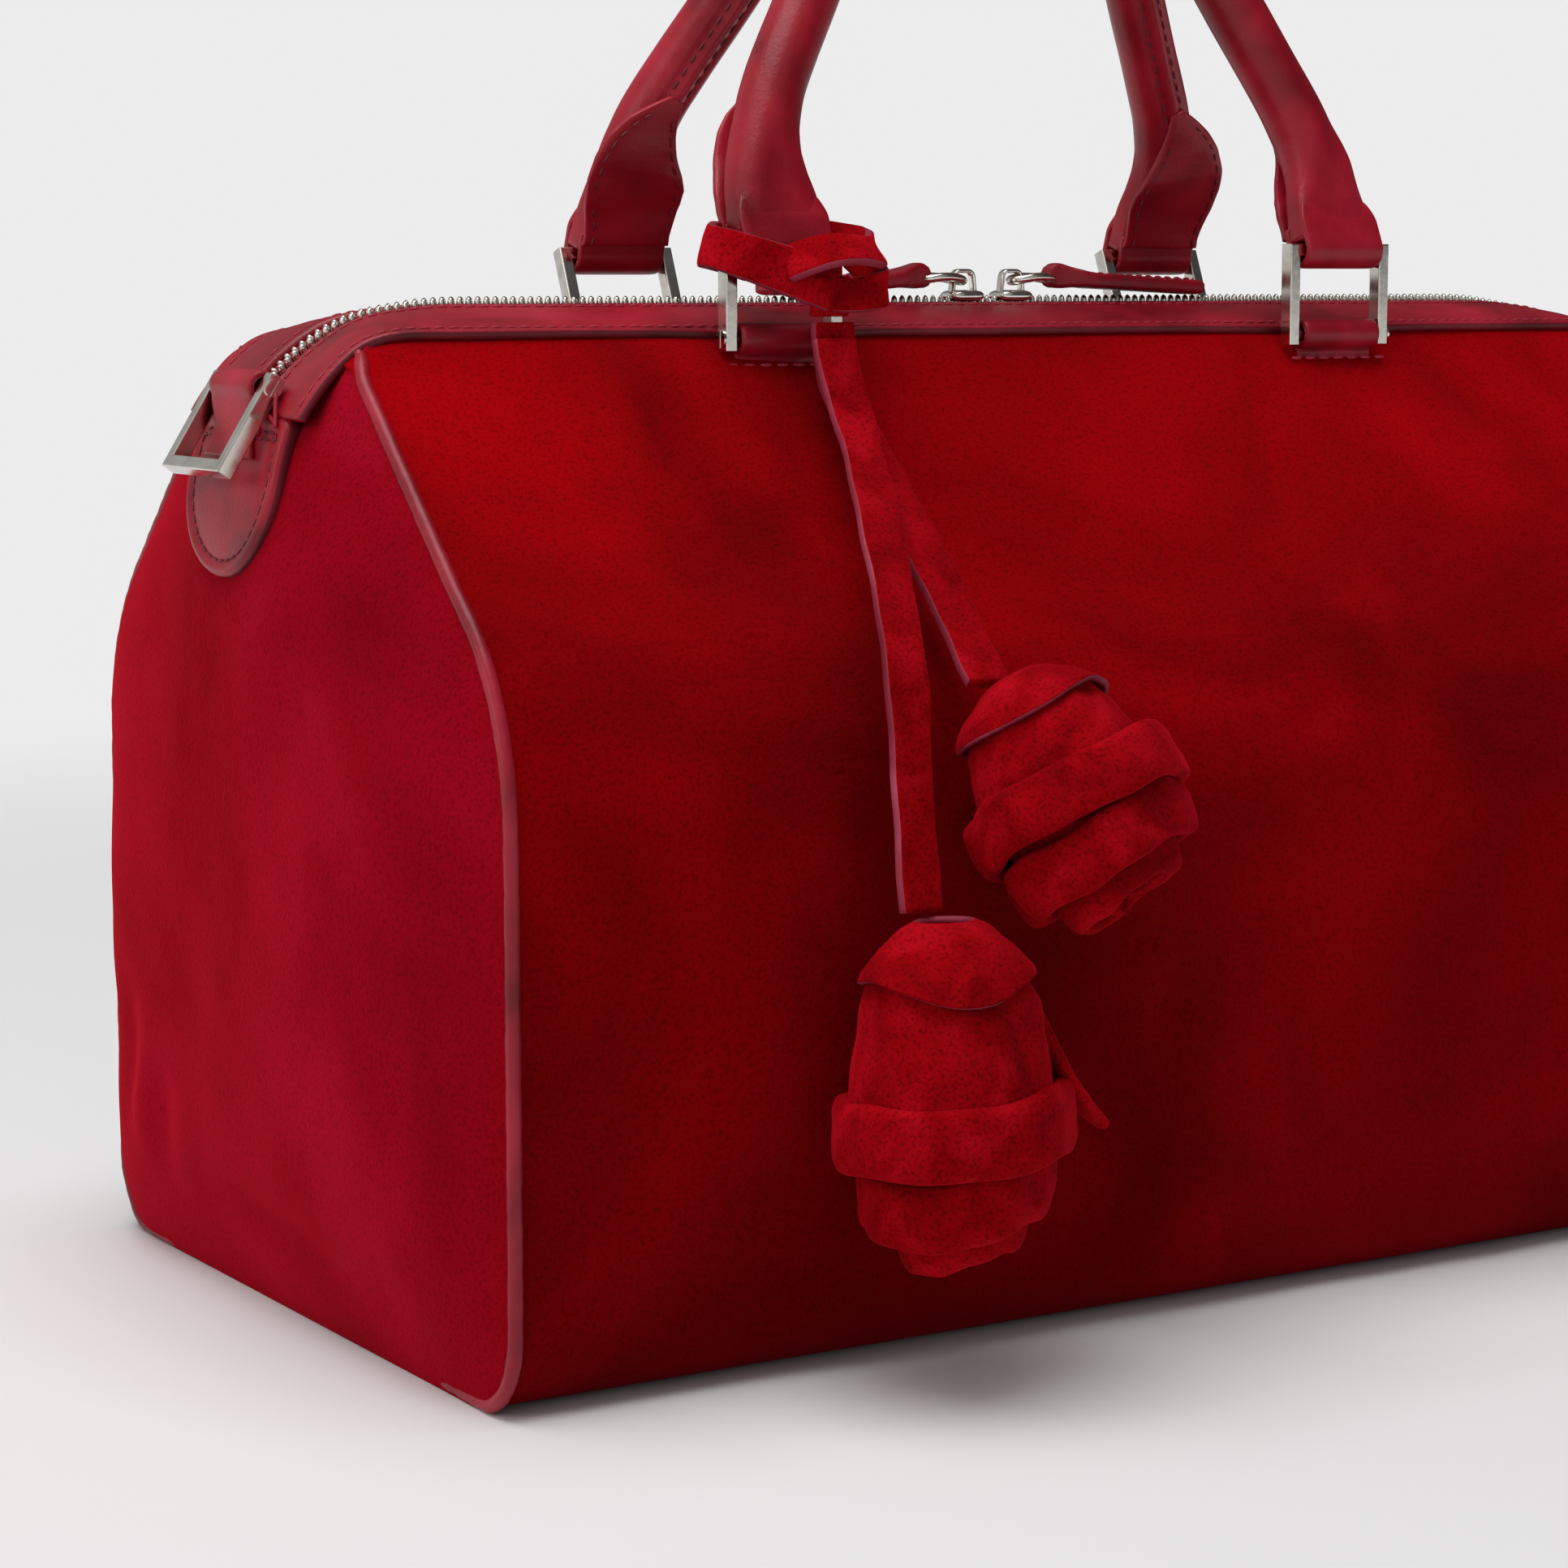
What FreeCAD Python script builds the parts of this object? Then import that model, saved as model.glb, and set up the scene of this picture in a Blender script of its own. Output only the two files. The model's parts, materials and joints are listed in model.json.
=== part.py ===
import FreeCAD, Part
import math
import os

from FreeCAD import Vector

# A soft suede duffle handbag with a zip along its top, two rolled handles on metal rings,
# a ring at each end of the zip, and a pair of suede roses on straps tied to the front handle.
# Millimetres.  +Z is up, the bag's front faces -Y, its length runs along X.
# The origin is the middle of the base, on the surface that the bag stands on.

# ---- body: sizes of the outer skin ----
SEAM_TO_SEAM = 400.0        # between the two piped end seams
DEPTH = 222.0               # front to back at the widest
SHOULDER_Z = 158.0          # where the upright wall would meet the slope
FULL_END_Z = 94.8           # height at which the ends reach furthest
SHOULDER_R = 62.0
BASE_EDGE_R = 20.0
BAND_HALF = 30.0            # half the width of the leather band that holds the zip
BAND_EDGE_Z = 236.0
ZIP_Z = 244.0
TOP_BEND_R = 55.0           # the zip bends down over each end with this radius
END_FOOT_R = 4.0
END_CURVE_R = 150.0         # the ends, seen from the front
END_BULGE = 18.0            # how far a filled end stands out past its seam
END_BULGE_Z = 150.0
BULGE_OVERLAP = 1.0         # lets the bulge fuse with the body
END_BULGE_R = 225.0
WALL = 2.4                  # suede with its backing
LINING = 0.8
LINING_GAP = 0.5
MOUTH_HALF = 7.0            # half the width of the zip's gap in the band

# ---- base board ----
BOARD_MARGIN = 12.0
BOARD_THICK = 2.5
BOARD_GAP = 0.2
BASE_SEAM_IN = 26.0         # the base panel's seam, in from the widest depth

# ---- piping ----
PIPING_R = 1.7
PIPING_CORD_R = 1.0
PIPING_TOP_DOWN = 4.0       # its top end, down the slope and in from the seam
PIPING_TOP_IN = 3.0
PIPING_KNEE_DOWN = 20.0
PIPING_KNEE_R = 40.0
PIPING_PROUD = 0.9

# ---- zip ----
BAND_THICK = 2.0
TAPE_THICK = 0.7
TAPE_GAP = 0.1
TAPE_SPLIT = 0.2            # each half off the middle
TEETH_SPLIT = 0.1
STOP_GAP = 0.3
TAPE_HALF = 12.0
TEETH_HALF = 2.6
TEETH_PROUD = 0.6
BAND_END_Z = 217.0
STOP_LENGTH = 2.5

# ---- rings: one size for the handles and the ends ----
RING_WIDTH = 33.0           # outside
RING_BAR = 3.2              # across the face
RING_EDGE_R = 0.4
RING_DEPTH = 4.2            # front to back
RING_REACH = 23.4           # screw pin's axis to the closed bar's outer edge
RING_TAIL = 2.8             # side bars past the pin's axis
PIN_R = 1.5
PIN_FIT = 0.05
PIN_HEAD_R = 2.2
PIN_HEAD = 0.6
PIN_SLOT = 0.7
PIN_RUN = 0.25              # pin to chape, radial
CHAPE_WALL = 2.4
CHAPE_SIDE_GAP = 0.5
HANDLE_RING_X = 86.0
HANDLE_PIN_DOWN = 5.940     # handle pins, down the slope from the band's edge
CHAPE_LIFT = 0.3            # roll off the suede
CHAPE_FOOT_DOWN = 8.0       # a handle chape's foot, down and up the slope from its pin
CHAPE_FOOT_UP = 6.5
CHAPE_FOOT_SINK = 0.1
CHAPE_FOOT_TOP = 1.6
FRONT_LEAN = 0.0            # degrees outwards from upright
BACK_LEAN = 22.0

# ---- end tabs and their rings ----
TAB_HALF = 24.5
TAB_BOTTOM_Z = 180.0
TAB_THICK = 2.4
TAB_GAP = 0.2               # tab off the suede
LOOP_REACH = 20.0           # end loop's foot, along the bag from its pin
LOOP_OUT = 3.8              # its outside, off the bag
LOOP_GAP = 0.3              # its inside, off the teeth
LOOP_TOP = 1.0              # above its pin
END_PIN_OUT = 10.5          # pin's axis past the seam plane
END_PIN_Z = 224.5
END_RING_HANG = 32.0        # degrees out from straight down

# ---- handles ----
HANDLE_R = 7.8
HANDLE_LEATHER = 2.0
CORE_GAP = 0.1
HANDLE_TOP_Z = 356.0        # centre line of the grip
HANDLE_KNEE_Z = 285.0
HANDLE_CROWN_HALF = 45.0
HANDLE_TOP_Y = 10.0
FRONT_KNEE_Y = 26.0
BACK_KNEE_Y = 36.0
ROLL_RUN = 0.3              # roll's bore past the closed bar's corners
ROLL_WALL = 2.0
FLAP_SIDE_GAP = 0.6         # a handle's flat end to the ring's side bars
FLAP_WIDTH = RING_WIDTH - 2 * RING_BAR - 2 * FLAP_SIDE_GAP
FLAP_THICK = 7.0
FLAP_REACH = 24.0
CORE_START = 13.0           # core begins this far up from the ring's bar
HANDLE_BENDS = [62.0, 60.0, 60.0, 62.0]

# ---- zip sliders and pulls ----
SLIDER_X = 7.6
SLIDER_LENGTH = 10.0
SLIDER_WIDTH = 8.4
SLIDER_PLATE = 1.6
SLIDER_CORNER_R = 1.2
SLIDER_SKIRT = 1.0          # its sides, below the zip's top
SLIDER_RUN = 0.3
LUG_WIDTH = 2.6
LUG_HEIGHT = 5.4
LUG_LENGTH = 6.0
LINK_BAR = 1.5
LINK_LENGTH = 15.0
LINK_WIDTH = 8.0
LINK_RUN = 0.3
LINK_BEND_R = 1.6
PULL_LENGTH = 46.0
PULL_WIDTH = 12.0
PULL_THICK = 3.6
PULL_GAP = 0.3
PULL_LOOP_WALL = 1.3
PULL_NECK = 3.0             # link's bar to the full width
PULL_CORNER_R = 2.0
PULL_DROP = 2.2             # degrees, the pull's tip resting on the teeth

# ---- charm ----
STRAP_WIDTH = 11.0
STRAP_THICK = 3.0
ARC_SHARE = 0.45            # of a strap's shorter run, taken up by the arc at its end
KNOT_HEIGHT = 9.0
KNOT_WALL = 4.0
KNOT_GAP = 0.4
KNOT_ROUND = 0.8            # corner radii, as shares of the half depth
KNOT_HOLE_ROUND = 0.5
KNOT_UP = 11.0              # knot's middle above the handle's hinge
BIGHT_X = -79.0
BIGHT_WIDTH = 10.0
STRAP_TOP_Z = 239.0
BIGHT_GAP = 1.4             # lets the short strap swing under the bight
# The straps' routes, chosen by hand from top to foot: (x, how far in front of the bag's middle, z).
SHORT_ROUTE = [
    (-78.0, 48.2, 239.0),
    (-78.0, 48.7, 229.5),
    (-77.8, 55.0, 217.5),
    (-77.6, 70.5, 202.5),
    (-77.8, 86.0, 188.6),
    (-78.6, 102.5, 172.4),
    (-80.0, 118.0, 157.8),
]
LONG_ROUTE = [
    (-80.0, 52.0, 235.0),
    (-80.0, 52.8, 230.0),
    (-80.8, 61.0, 217.8),
    (-84.5, 74.0, 205.2),
    (-90.5, 89.6, 191.2),
    (-96.8, 105.0, 175.5),
    (-102.2, 118.5, 158.5),
    (-105.0, 124.0, 139.5),
    (-106.0, 128.0, 122.5),
    (-106.4, 130.5, 109.0),
]
ROSE_GAP = 1.7
CALYX_GAP = 0.1
PETAL_GAP = 0.3
PETAL_UP = 4.0              # lower petal's edge above the rose's foot
PETAL_ROUND = 0.45
STEM_WALL = 0.5
BUD_SWELL = 0.45            # share of the way from calyx to petals
BUD_TUCK = 4.0
HEART_SHARE = 0.9           # rolled heart, as shares of the neck's radius
HEART_TIP_SHARE = 0.5
LONG_ROSE = {
    "length": 78.0,
    "calyx": 14.0,
    "petals": 38.0,
    "neck_r": 16.0,
    "bud_r": 22.0,
    "petal_r": 26.5,
    "tip_r": 21.5,
    "out": 10.0,            # degrees, its foot away from the bag
    "across": -3.0,         # degrees, its foot towards the bag's right end
}
SHORT_ROSE = {
    "length": 58.0,
    "calyx": 13.0,
    "petals": 24.0,
    "neck_r": 15.0,
    "bud_r": 19.0,
    "petal_r": 24.0,
    "tip_r": 22.0,
    "out": 32.0,
    "across": -24.0,
}

PARTS = {}


def add(name, shape):
    """Keep one finished node."""
    PARTS[name] = shape


def rounded_path(corners, radii):
    """A wire through corners, each inner corner eased by an arc of its radius."""
    edges = []
    start = corners[0]
    for before, corner, after, radius in zip(corners, corners[1:], corners[2:], radii):
        into = (corner - before).normalize()
        out = (after - corner).normalize()
        turn = into.getAngle(out)
        if radius <= 0 or turn < 1e-6:
            edges.append(Part.LineSegment(start, corner).toShape())
            start = corner
            continue
        reach = radius * math.tan(turn / 2)
        arc_start = corner - into * reach
        arc_end = corner + out * reach
        inwards = (out - into).normalize()
        middle = corner + inwards * (radius / math.cos(turn / 2) - radius)
        if (arc_start - start).Length > 1e-6:
            edges.append(Part.LineSegment(start, arc_start).toShape())
        edges.append(Part.Arc(arc_start, middle, arc_end).toShape())
        start = arc_end
    edges.append(Part.LineSegment(start, corners[-1]).toShape())
    return Part.Wire(edges)


def sweep_circle(path, radius):
    """A round bar along a path."""
    first = path.OrderedEdges[0]
    start = first.valueAt(first.FirstParameter)
    along = first.tangentAt(first.FirstParameter)
    circle = Part.Wire(Part.Circle(start, along, radius).toShape())
    return path.makePipeShell([circle], True, False)


def box_between(low, high):
    """A box given by its lowest and highest corners."""
    size = [b - a for a, b in zip(low, high)]
    return Part.makeBox(*size, Vector(*low))


def mirror_x(shape):
    """The same piece on the bag's right-hand side."""
    return shape.mirror(Vector(0, 0, 0), Vector(1, 0, 0))


def mirror_y(shape):
    """The same piece on the bag's back."""
    return shape.mirror(Vector(0, 0, 0), Vector(0, 1, 0))


def face_offset(corners, radii, inset):
    """A face bounded by a rounded outline, moved inwards by inset."""
    wire = rounded_path(corners, radii)
    if abs(inset) > 1e-9:
        wire = wire.makeOffset2D(-inset)
    return Part.Face(wire)


def section_face(inset, x):
    """The bag's cross-section, in the plane at x."""
    half = DEPTH / 2
    outline = [(0, 0), (-half, 0), (-half, SHOULDER_Z), (-BAND_HALF, BAND_EDGE_Z), (0, ZIP_Z)]
    outline += [(-y, z) for y, z in outline[3:0:-1]] + [(0, 0)]
    radii = [BASE_EDGE_R, SHOULDER_R, 0, 0, 0, SHOULDER_R, BASE_EDGE_R]
    return face_offset([Vector(x, y, z) for y, z in outline], radii, inset)


def lengthwise_face(inset, y):
    """The bag's outline seen from the front, in the plane at y."""
    seam = SEAM_TO_SEAM / 2
    end = seam + END_BULGE
    outline = [(0, 0), (seam, 0), (end, FULL_END_Z), (end, ZIP_Z), (0, ZIP_Z)]
    outline += [(-x, z) for x, z in outline[3:0:-1]] + [(0, 0)]
    radii = [END_FOOT_R, END_CURVE_R, TOP_BEND_R, 0, TOP_BEND_R, END_CURVE_R, END_FOOT_R]
    return face_offset([Vector(x, y, z) for x, z in outline], radii, inset)


def body_solid(inset):
    """The filled bag, with its whole skin moved inwards by inset."""
    seam = SEAM_TO_SEAM / 2 - inset
    far = SEAM_TO_SEAM
    section = section_face(inset, -far).extrude(Vector(2 * far, 0, 0))
    outline = lengthwise_face(inset, -DEPTH).extrude(Vector(0, 2 * DEPTH, 0))
    whole = section.common(outline)
    body = whole.common(box_between((-seam, -far, -far), (seam, far, far)))
    centre_x = SEAM_TO_SEAM / 2 + END_BULGE - END_BULGE_R
    for side in (-1, 1):
        ball = Part.makeSphere(END_BULGE_R - inset, Vector(side * centre_x, 0, END_BULGE_Z))
        body = body.fuse(ball.common(half_space_x(side, seam - BULGE_OVERLAP)).common(whole))
    return max(body.Solids, key=lambda solid: solid.Volume)


def half_space_x(side, start):
    """Everything further out than start on one side."""
    far = SEAM_TO_SEAM
    low = min(side * start, side * far)
    return box_between((low, -far, -far), (low + far - start, far, far))


def band_zone(half, gap=0.0):
    """The strip over the zip, down to where the band ends."""
    far = SEAM_TO_SEAM
    return box_between((-far, -half, BAND_END_Z + gap), (far, half, far))


def piping_path(front):
    """The line of the piping at the left-hand end: down the seam and under the base."""
    inset = PIPING_R - PIPING_PROUD
    side = DEPTH / 2 - inset
    seam = SEAM_TO_SEAM / 2 - inset
    slope = slope_direction()
    top_in = slope * PIPING_TOP_DOWN
    top = Vector(-seam + PIPING_TOP_IN, -BAND_HALF, BAND_EDGE_Z) + top_in + slope_normal() * -inset
    shift = slope_normal() * -inset
    knee = Vector(-seam, -BAND_HALF + shift.y, BAND_EDGE_Z + shift.z) + slope * PIPING_KNEE_DOWN
    shoulder = slope_meets(side, inset)
    corners = [
        top,
        knee,
        Vector(-seam, -side, shoulder),
        Vector(-seam, -side, PIPING_R),
        Vector(-seam, -side + BASE_SEAM_IN - PIPING_R, PIPING_R),
    ]
    if not front:
        corners = [Vector(p.x, -p.y, p.z) for p in corners]
    return rounded_path(corners, [PIPING_KNEE_R, SHOULDER_R - inset, BASE_EDGE_R - PIPING_R])


def slope_direction():
    """Down the front slope, from the band's edge to the shoulder."""
    return Vector(0, -(DEPTH / 2 - BAND_HALF), SHOULDER_Z - BAND_EDGE_Z).normalize()


def slope_normal():
    """Out of the front slope."""
    along = slope_direction()
    return Vector(0, along.z, -along.y)


def slope_meets(side, inset):
    """Height at which the slope, moved in by inset, reaches a depth of side."""
    along = slope_direction()
    start = Vector(0, -BAND_HALF, BAND_EDGE_Z) + slope_normal() * -inset
    steps = (-side - start.y) / along.y
    return start.z + along.z * steps


def make_skin():
    """Suede panels, piping, lining and base board."""
    outer = body_solid(0)
    wall = outer.cut(body_solid(WALL))
    seam = SEAM_TO_SEAM / 2 - WALL
    far = SEAM_TO_SEAM
    base_half = DEPTH / 2 - BASE_SEAM_IN
    between = box_between((-seam, -far, -far), (seam, far, far))
    base_zone = box_between((-seam, -base_half, -1), (seam, base_half, BASE_EDGE_R))
    sleeves = {}
    for side, front in (("front", True), ("back", False)):
        path = piping_path(front)
        sleeve = sweep_circle(path, PIPING_R)
        cord = sweep_circle(path, PIPING_CORD_R)
        sleeves[side] = (sleeve, cord)
    grooves = [sleeve for sleeve, _ in sleeves.values()]
    grooves += [mirror_x(groove) for groove in grooves]
    tube = wall.common(between)
    base = tube.common(base_zone)
    front = tube.cut(base_zone).common(box_between((-far, -far, -far), (far, -BAND_HALF, far)))
    for groove in grooves:
        front = front.cut(groove)
    add("front_panel", front)
    add("back_panel", mirror_y(front))
    add("base_panel", base)
    end = wall.common(half_space_x(-1, seam)).cut(band_zone(BAND_HALF))
    for groove in grooves[:2]:
        end = end.cut(groove)
    add("end_panel_left", end)
    add("end_panel_right", mirror_x(end))
    cords = []
    for side, (sleeve, cord) in sleeves.items():
        hollow = sleeve.cut(cord)
        add("piping_%s_left" % side, hollow)
        add("piping_%s_right" % side, mirror_x(hollow))
        cords += [cord, mirror_x(cord)]
    add("piping_cords", Part.makeCompound(cords))
    lining_out = WALL + LINING_GAP
    lining_in = lining_out + LINING
    lining = body_solid(lining_out).cut(body_solid(lining_in))
    add("lining", lining.cut(band_zone(MOUTH_HALF)))
    floor = lining_in + BOARD_GAP
    half_x = SEAM_TO_SEAM / 2 - BOARD_MARGIN
    half_y = base_half
    board = box_between((-half_x, -half_y, floor), (half_x, half_y, floor + BOARD_THICK))
    add("base_board", fillet_upright(board, BOARD_MARGIN))


def fillet_upright(shape, radius):
    """Round a block's upright corners."""
    upright = []
    for edge in shape.Edges:
        along = edge.tangentAt(edge.FirstParameter)
        if abs(abs(along.z) - 1) < 1e-6:
            upright.append(edge)
    return shape.makeFillet(radius, upright)


def strip(outer_inset, inner_inset, low_y, high_y, gap=0.0):
    """A strip of the skin over the top, between two depths and two widths."""
    far = SEAM_TO_SEAM
    zone = box_between((-far, low_y, BAND_END_Z + gap), (far, high_y, far))
    return body_solid(outer_inset).cut(body_solid(inner_inset)).common(zone)


def make_zip():
    """The leather band, the tape, the two rows of teeth and the end stops."""
    tape_top = BAND_THICK + TAPE_GAP
    band = strip(0, BAND_THICK, -BAND_HALF, -MOUTH_HALF)
    tape = strip(tape_top, tape_top + TAPE_THICK, -TAPE_HALF, -TAPE_SPLIT)
    teeth = strip(-TEETH_PROUD, tape_top, -TEETH_HALF, -TEETH_SPLIT, STOP_LENGTH)
    for name, shape in (("zip_band", band), ("zip_tape", tape), ("zip_teeth", teeth)):
        add(name + "_front", shape)
        add(name + "_back", mirror_y(shape))
    top = BAND_END_Z + STOP_LENGTH - TAPE_SPLIT
    zone = box_between((-SEAM_TO_SEAM, -TEETH_HALF, BAND_END_Z + STOP_GAP), (0, TEETH_HALF, top))
    stop = body_solid(0).cut(body_solid(tape_top)).common(zone)
    add("zip_stops", Part.makeCompound([stop, mirror_x(stop)]))


def ring_frame():
    """A ring lying in the XZ plane: pin's axis along X at the origin, closed bar at +Z."""
    half = RING_WIDTH / 2
    inner = half - RING_BAR
    depth = RING_DEPTH / 2
    frame = box_between((-half, -depth, -RING_TAIL), (half, depth, RING_REACH))
    gap = box_between((-inner, -depth - 1, -RING_TAIL - 1), (inner, depth + 1, RING_REACH - RING_BAR))
    frame = frame.cut(gap)
    frame = frame.makeFillet(RING_EDGE_R, long_edges(frame))
    bore = Part.makeCylinder(PIN_R + PIN_FIT, RING_WIDTH + 2, Vector(-half - 1, 0, 0), Vector(1, 0, 0))
    return frame.cut(bore)


def long_edges(shape):
    """Edges longer than a bar is wide."""
    return [edge for edge in shape.Edges if edge.Length > RING_DEPTH + 0.5]


def ring_pin():
    """The screw pin along X, with a slotted head on its left."""
    half = RING_WIDTH / 2
    along = Vector(1, 0, 0)
    pin = Part.makeCylinder(PIN_R, RING_WIDTH, Vector(-half, 0, 0), along)
    head = Part.makeCylinder(PIN_HEAD_R, PIN_HEAD, Vector(-half - PIN_HEAD, 0, 0), along)
    slot_half = PIN_SLOT / 2
    low = (-half - PIN_HEAD - 1, -slot_half, -PIN_HEAD_R)
    slot = box_between(low, (-half - PIN_HEAD / 2, slot_half, PIN_HEAD_R))
    return pin.fuse(head).cut(slot)


def chape_roll():
    """The rolled part of a leather loop round a pin on the X axis."""
    width = RING_WIDTH - 2 * RING_BAR - 2 * CHAPE_SIDE_GAP
    bore = PIN_R + PIN_RUN
    start = Vector(-width / 2, 0, 0)
    roll = Part.makeCylinder(bore + CHAPE_WALL, width, start, Vector(1, 0, 0))
    hole = Part.makeCylinder(bore, width + 2, start - Vector(1, 0, 0), Vector(1, 0, 0))
    return roll, hole, width


def handle_pin():
    """A handle ring's pin axis on the front slope: just clear of the suede."""
    lift = PIN_R + PIN_RUN + CHAPE_WALL + CHAPE_LIFT
    along = slope_direction()
    on_slope = Vector(0, -BAND_HALF, BAND_EDGE_Z) + along * HANDLE_PIN_DOWN
    return on_slope + slope_normal() * lift


def handle_chape():
    """A loop of leather that holds a handle ring's pin, with its stitched foot on the slope."""
    roll, hole, width = chape_roll()
    lift = PIN_R + PIN_RUN + CHAPE_WALL
    low = (-width / 2, -CHAPE_FOOT_DOWN, -lift - CHAPE_FOOT_SINK)
    foot = box_between(low, (width / 2, CHAPE_FOOT_UP, -lift + CHAPE_FOOT_TOP))
    loop = roll.fuse(foot).cut(hole)
    angle = math.degrees(math.atan2(-slope_direction().z, -slope_direction().y))
    loop.rotate(Vector(0, 0, 0), Vector(1, 0, 0), angle)
    return loop


def place_rings():
    """The four handle rings with their pins and chapes."""
    pin = handle_pin()
    for side, lean, flip in (("front", FRONT_LEAN, False), ("back", BACK_LEAN, True)):
        frame = ring_frame()
        frame.rotate(Vector(0, 0, 0), Vector(1, 0, 0), lean)
        pieces = {"ring": frame, "ring_pin": ring_pin(), "chape": handle_chape()}
        for kind, piece in pieces.items():
            piece = piece.translated(Vector(-HANDLE_RING_X, pin.y, pin.z))
            if flip:
                piece = mirror_y(piece)
            add("%s_%s_left" % (kind, side), piece)
            add("%s_%s_right" % (kind, side), mirror_x(piece))


def tab_outline_solid():
    """The end tab's outline, run through the left-hand end."""
    centre_z = TAB_BOTTOM_Z + TAB_HALF
    inner_x = -SEAM_TO_SEAM / 4
    outer_x = inner_x - SEAM_TO_SEAM
    upright = box_between((outer_x, -TAB_HALF, centre_z), (inner_x, TAB_HALF, BAND_END_Z))
    middle = Vector(outer_x, 0, centre_z)
    rounded = Part.makeCylinder(TAB_HALF, SEAM_TO_SEAM, middle, Vector(1, 0, 0))
    return upright.fuse(rounded.common(box_below(centre_z)))


def box_below(top):
    """Everything under a height."""
    far = 2 * SEAM_TO_SEAM
    return box_between((-far, -far, -far), (far, far, top))


def make_end_hardware():
    """The leather tab, loop, ring and pin at each end of the zip."""
    skin = body_solid(-TAB_THICK).cut(body_solid(-TAB_GAP))
    tab = skin.common(tab_outline_solid())
    add("end_tab_left", tab)
    add("end_tab_right", mirror_x(tab))
    pin_x = -(SEAM_TO_SEAM / 2 + END_PIN_OUT)
    place = Vector(pin_x, 0, END_PIN_Z)
    roll, hole, width = chape_roll()
    turned = []
    for shape in (roll, hole):
        shape.rotate(Vector(0, 0, 0), Vector(0, 0, 1), 90)
        turned.append(shape.translated(place))
    low = (pin_x - LOOP_REACH, -width / 2, BAND_END_Z + LOOP_GAP)
    zone = box_between(low, (pin_x + LOOP_REACH, width / 2, END_PIN_Z + LOOP_TOP))
    foot = body_solid(-LOOP_OUT).cut(body_solid(-TEETH_PROUD - LOOP_GAP)).common(zone)
    loop = turned[0].fuse(foot).cut(turned[1])
    add("end_chape_left", loop)
    add("end_chape_right", mirror_x(loop))
    for name, piece in (("end_ring", ring_frame()), ("end_ring_pin", ring_pin())):
        piece.rotate(Vector(0, 0, 0), Vector(0, 0, 1), 90)
        piece.rotate(Vector(0, 0, 0), Vector(0, 1, 0), 180 + END_RING_HANG)
        piece = piece.translated(place)
        add(name + "_left", piece)
        add(name + "_right", mirror_x(piece))


def closed_bar(lean):
    """Centre of a front ring's closed bar, which the handle hangs on."""
    pin = handle_pin()
    reach = RING_REACH - RING_BAR / 2
    angle = math.radians(lean)
    return Vector(-HANDLE_RING_X, pin.y - reach * math.sin(angle), pin.z + reach * math.cos(angle))


def handle_path(lean, knee_y):
    """A handle's centre line, from one ring's closed bar to the other's."""
    foot = closed_bar(lean)
    half = [
        foot,
        Vector(-HANDLE_RING_X, -knee_y, HANDLE_KNEE_Z),
        Vector(-HANDLE_CROWN_HALF, -HANDLE_TOP_Y, HANDLE_TOP_Z),
    ]
    return half + [Vector(-p.x, p.y, p.z) for p in reversed(half)]


def handle_flap(foot, knee):
    """The flat end of a handle, folded round the ring's bar: returns the leather and the bore."""
    bar_corner = math.hypot(RING_BAR / 2, RING_DEPTH / 2)
    bore = bar_corner + ROLL_RUN
    half = FLAP_WIDTH / 2
    left = Vector(-half, 0, 0)
    across = Vector(1, 0, 0)
    roll = Part.makeCylinder(bore + ROLL_WALL, FLAP_WIDTH, left, across)
    flap = box_between((-half, -FLAP_THICK / 2, 0), (half, FLAP_THICK / 2, FLAP_REACH))
    hole = Part.makeCylinder(bore, FLAP_WIDTH + 2, left - across, across)
    lean = math.degrees(math.atan2(-(knee.y - foot.y), knee.z - foot.z))
    placed = []
    for shape in (roll.fuse(flap), hole):
        shape.rotate(Vector(0, 0, 0), across, lean)
        placed.append(shape.translated(foot))
    return placed


def make_handle(side, lean, knee_y):
    """One rolled handle: its leather, with both flat ends, and the core inside."""
    corners = handle_path(lean, knee_y)
    path = rounded_path(corners, HANDLE_BENDS)
    leather = sweep_circle(path, HANDLE_R)
    core_corners = list(corners)
    step = (corners[1] - corners[0]).normalize() * CORE_START
    core_corners[0] = corners[0] + step
    core_corners[-1] = Vector(-core_corners[0].x, core_corners[0].y, core_corners[0].z)
    core_path = rounded_path(core_corners, HANDLE_BENDS)
    core_r = HANDLE_R - HANDLE_LEATHER
    flaps = []
    holes = []
    for foot, knee in ((corners[0], corners[1]), (corners[-1], corners[-2])):
        flap, hole = handle_flap(foot, knee)
        flaps.append(flap)
        holes.append(hole)
    for flap in flaps:
        leather = leather.fuse(flap)
    for hole in holes:
        leather = leather.cut(hole)
    leather = leather.cut(sweep_circle(core_path, core_r))
    core = sweep_circle(core_path, core_r - CORE_GAP)
    if side == "back":
        leather = mirror_y(leather)
        core = mirror_y(core)
    add("handle_" + side, leather)
    add("handle_core_" + side, core)


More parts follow.
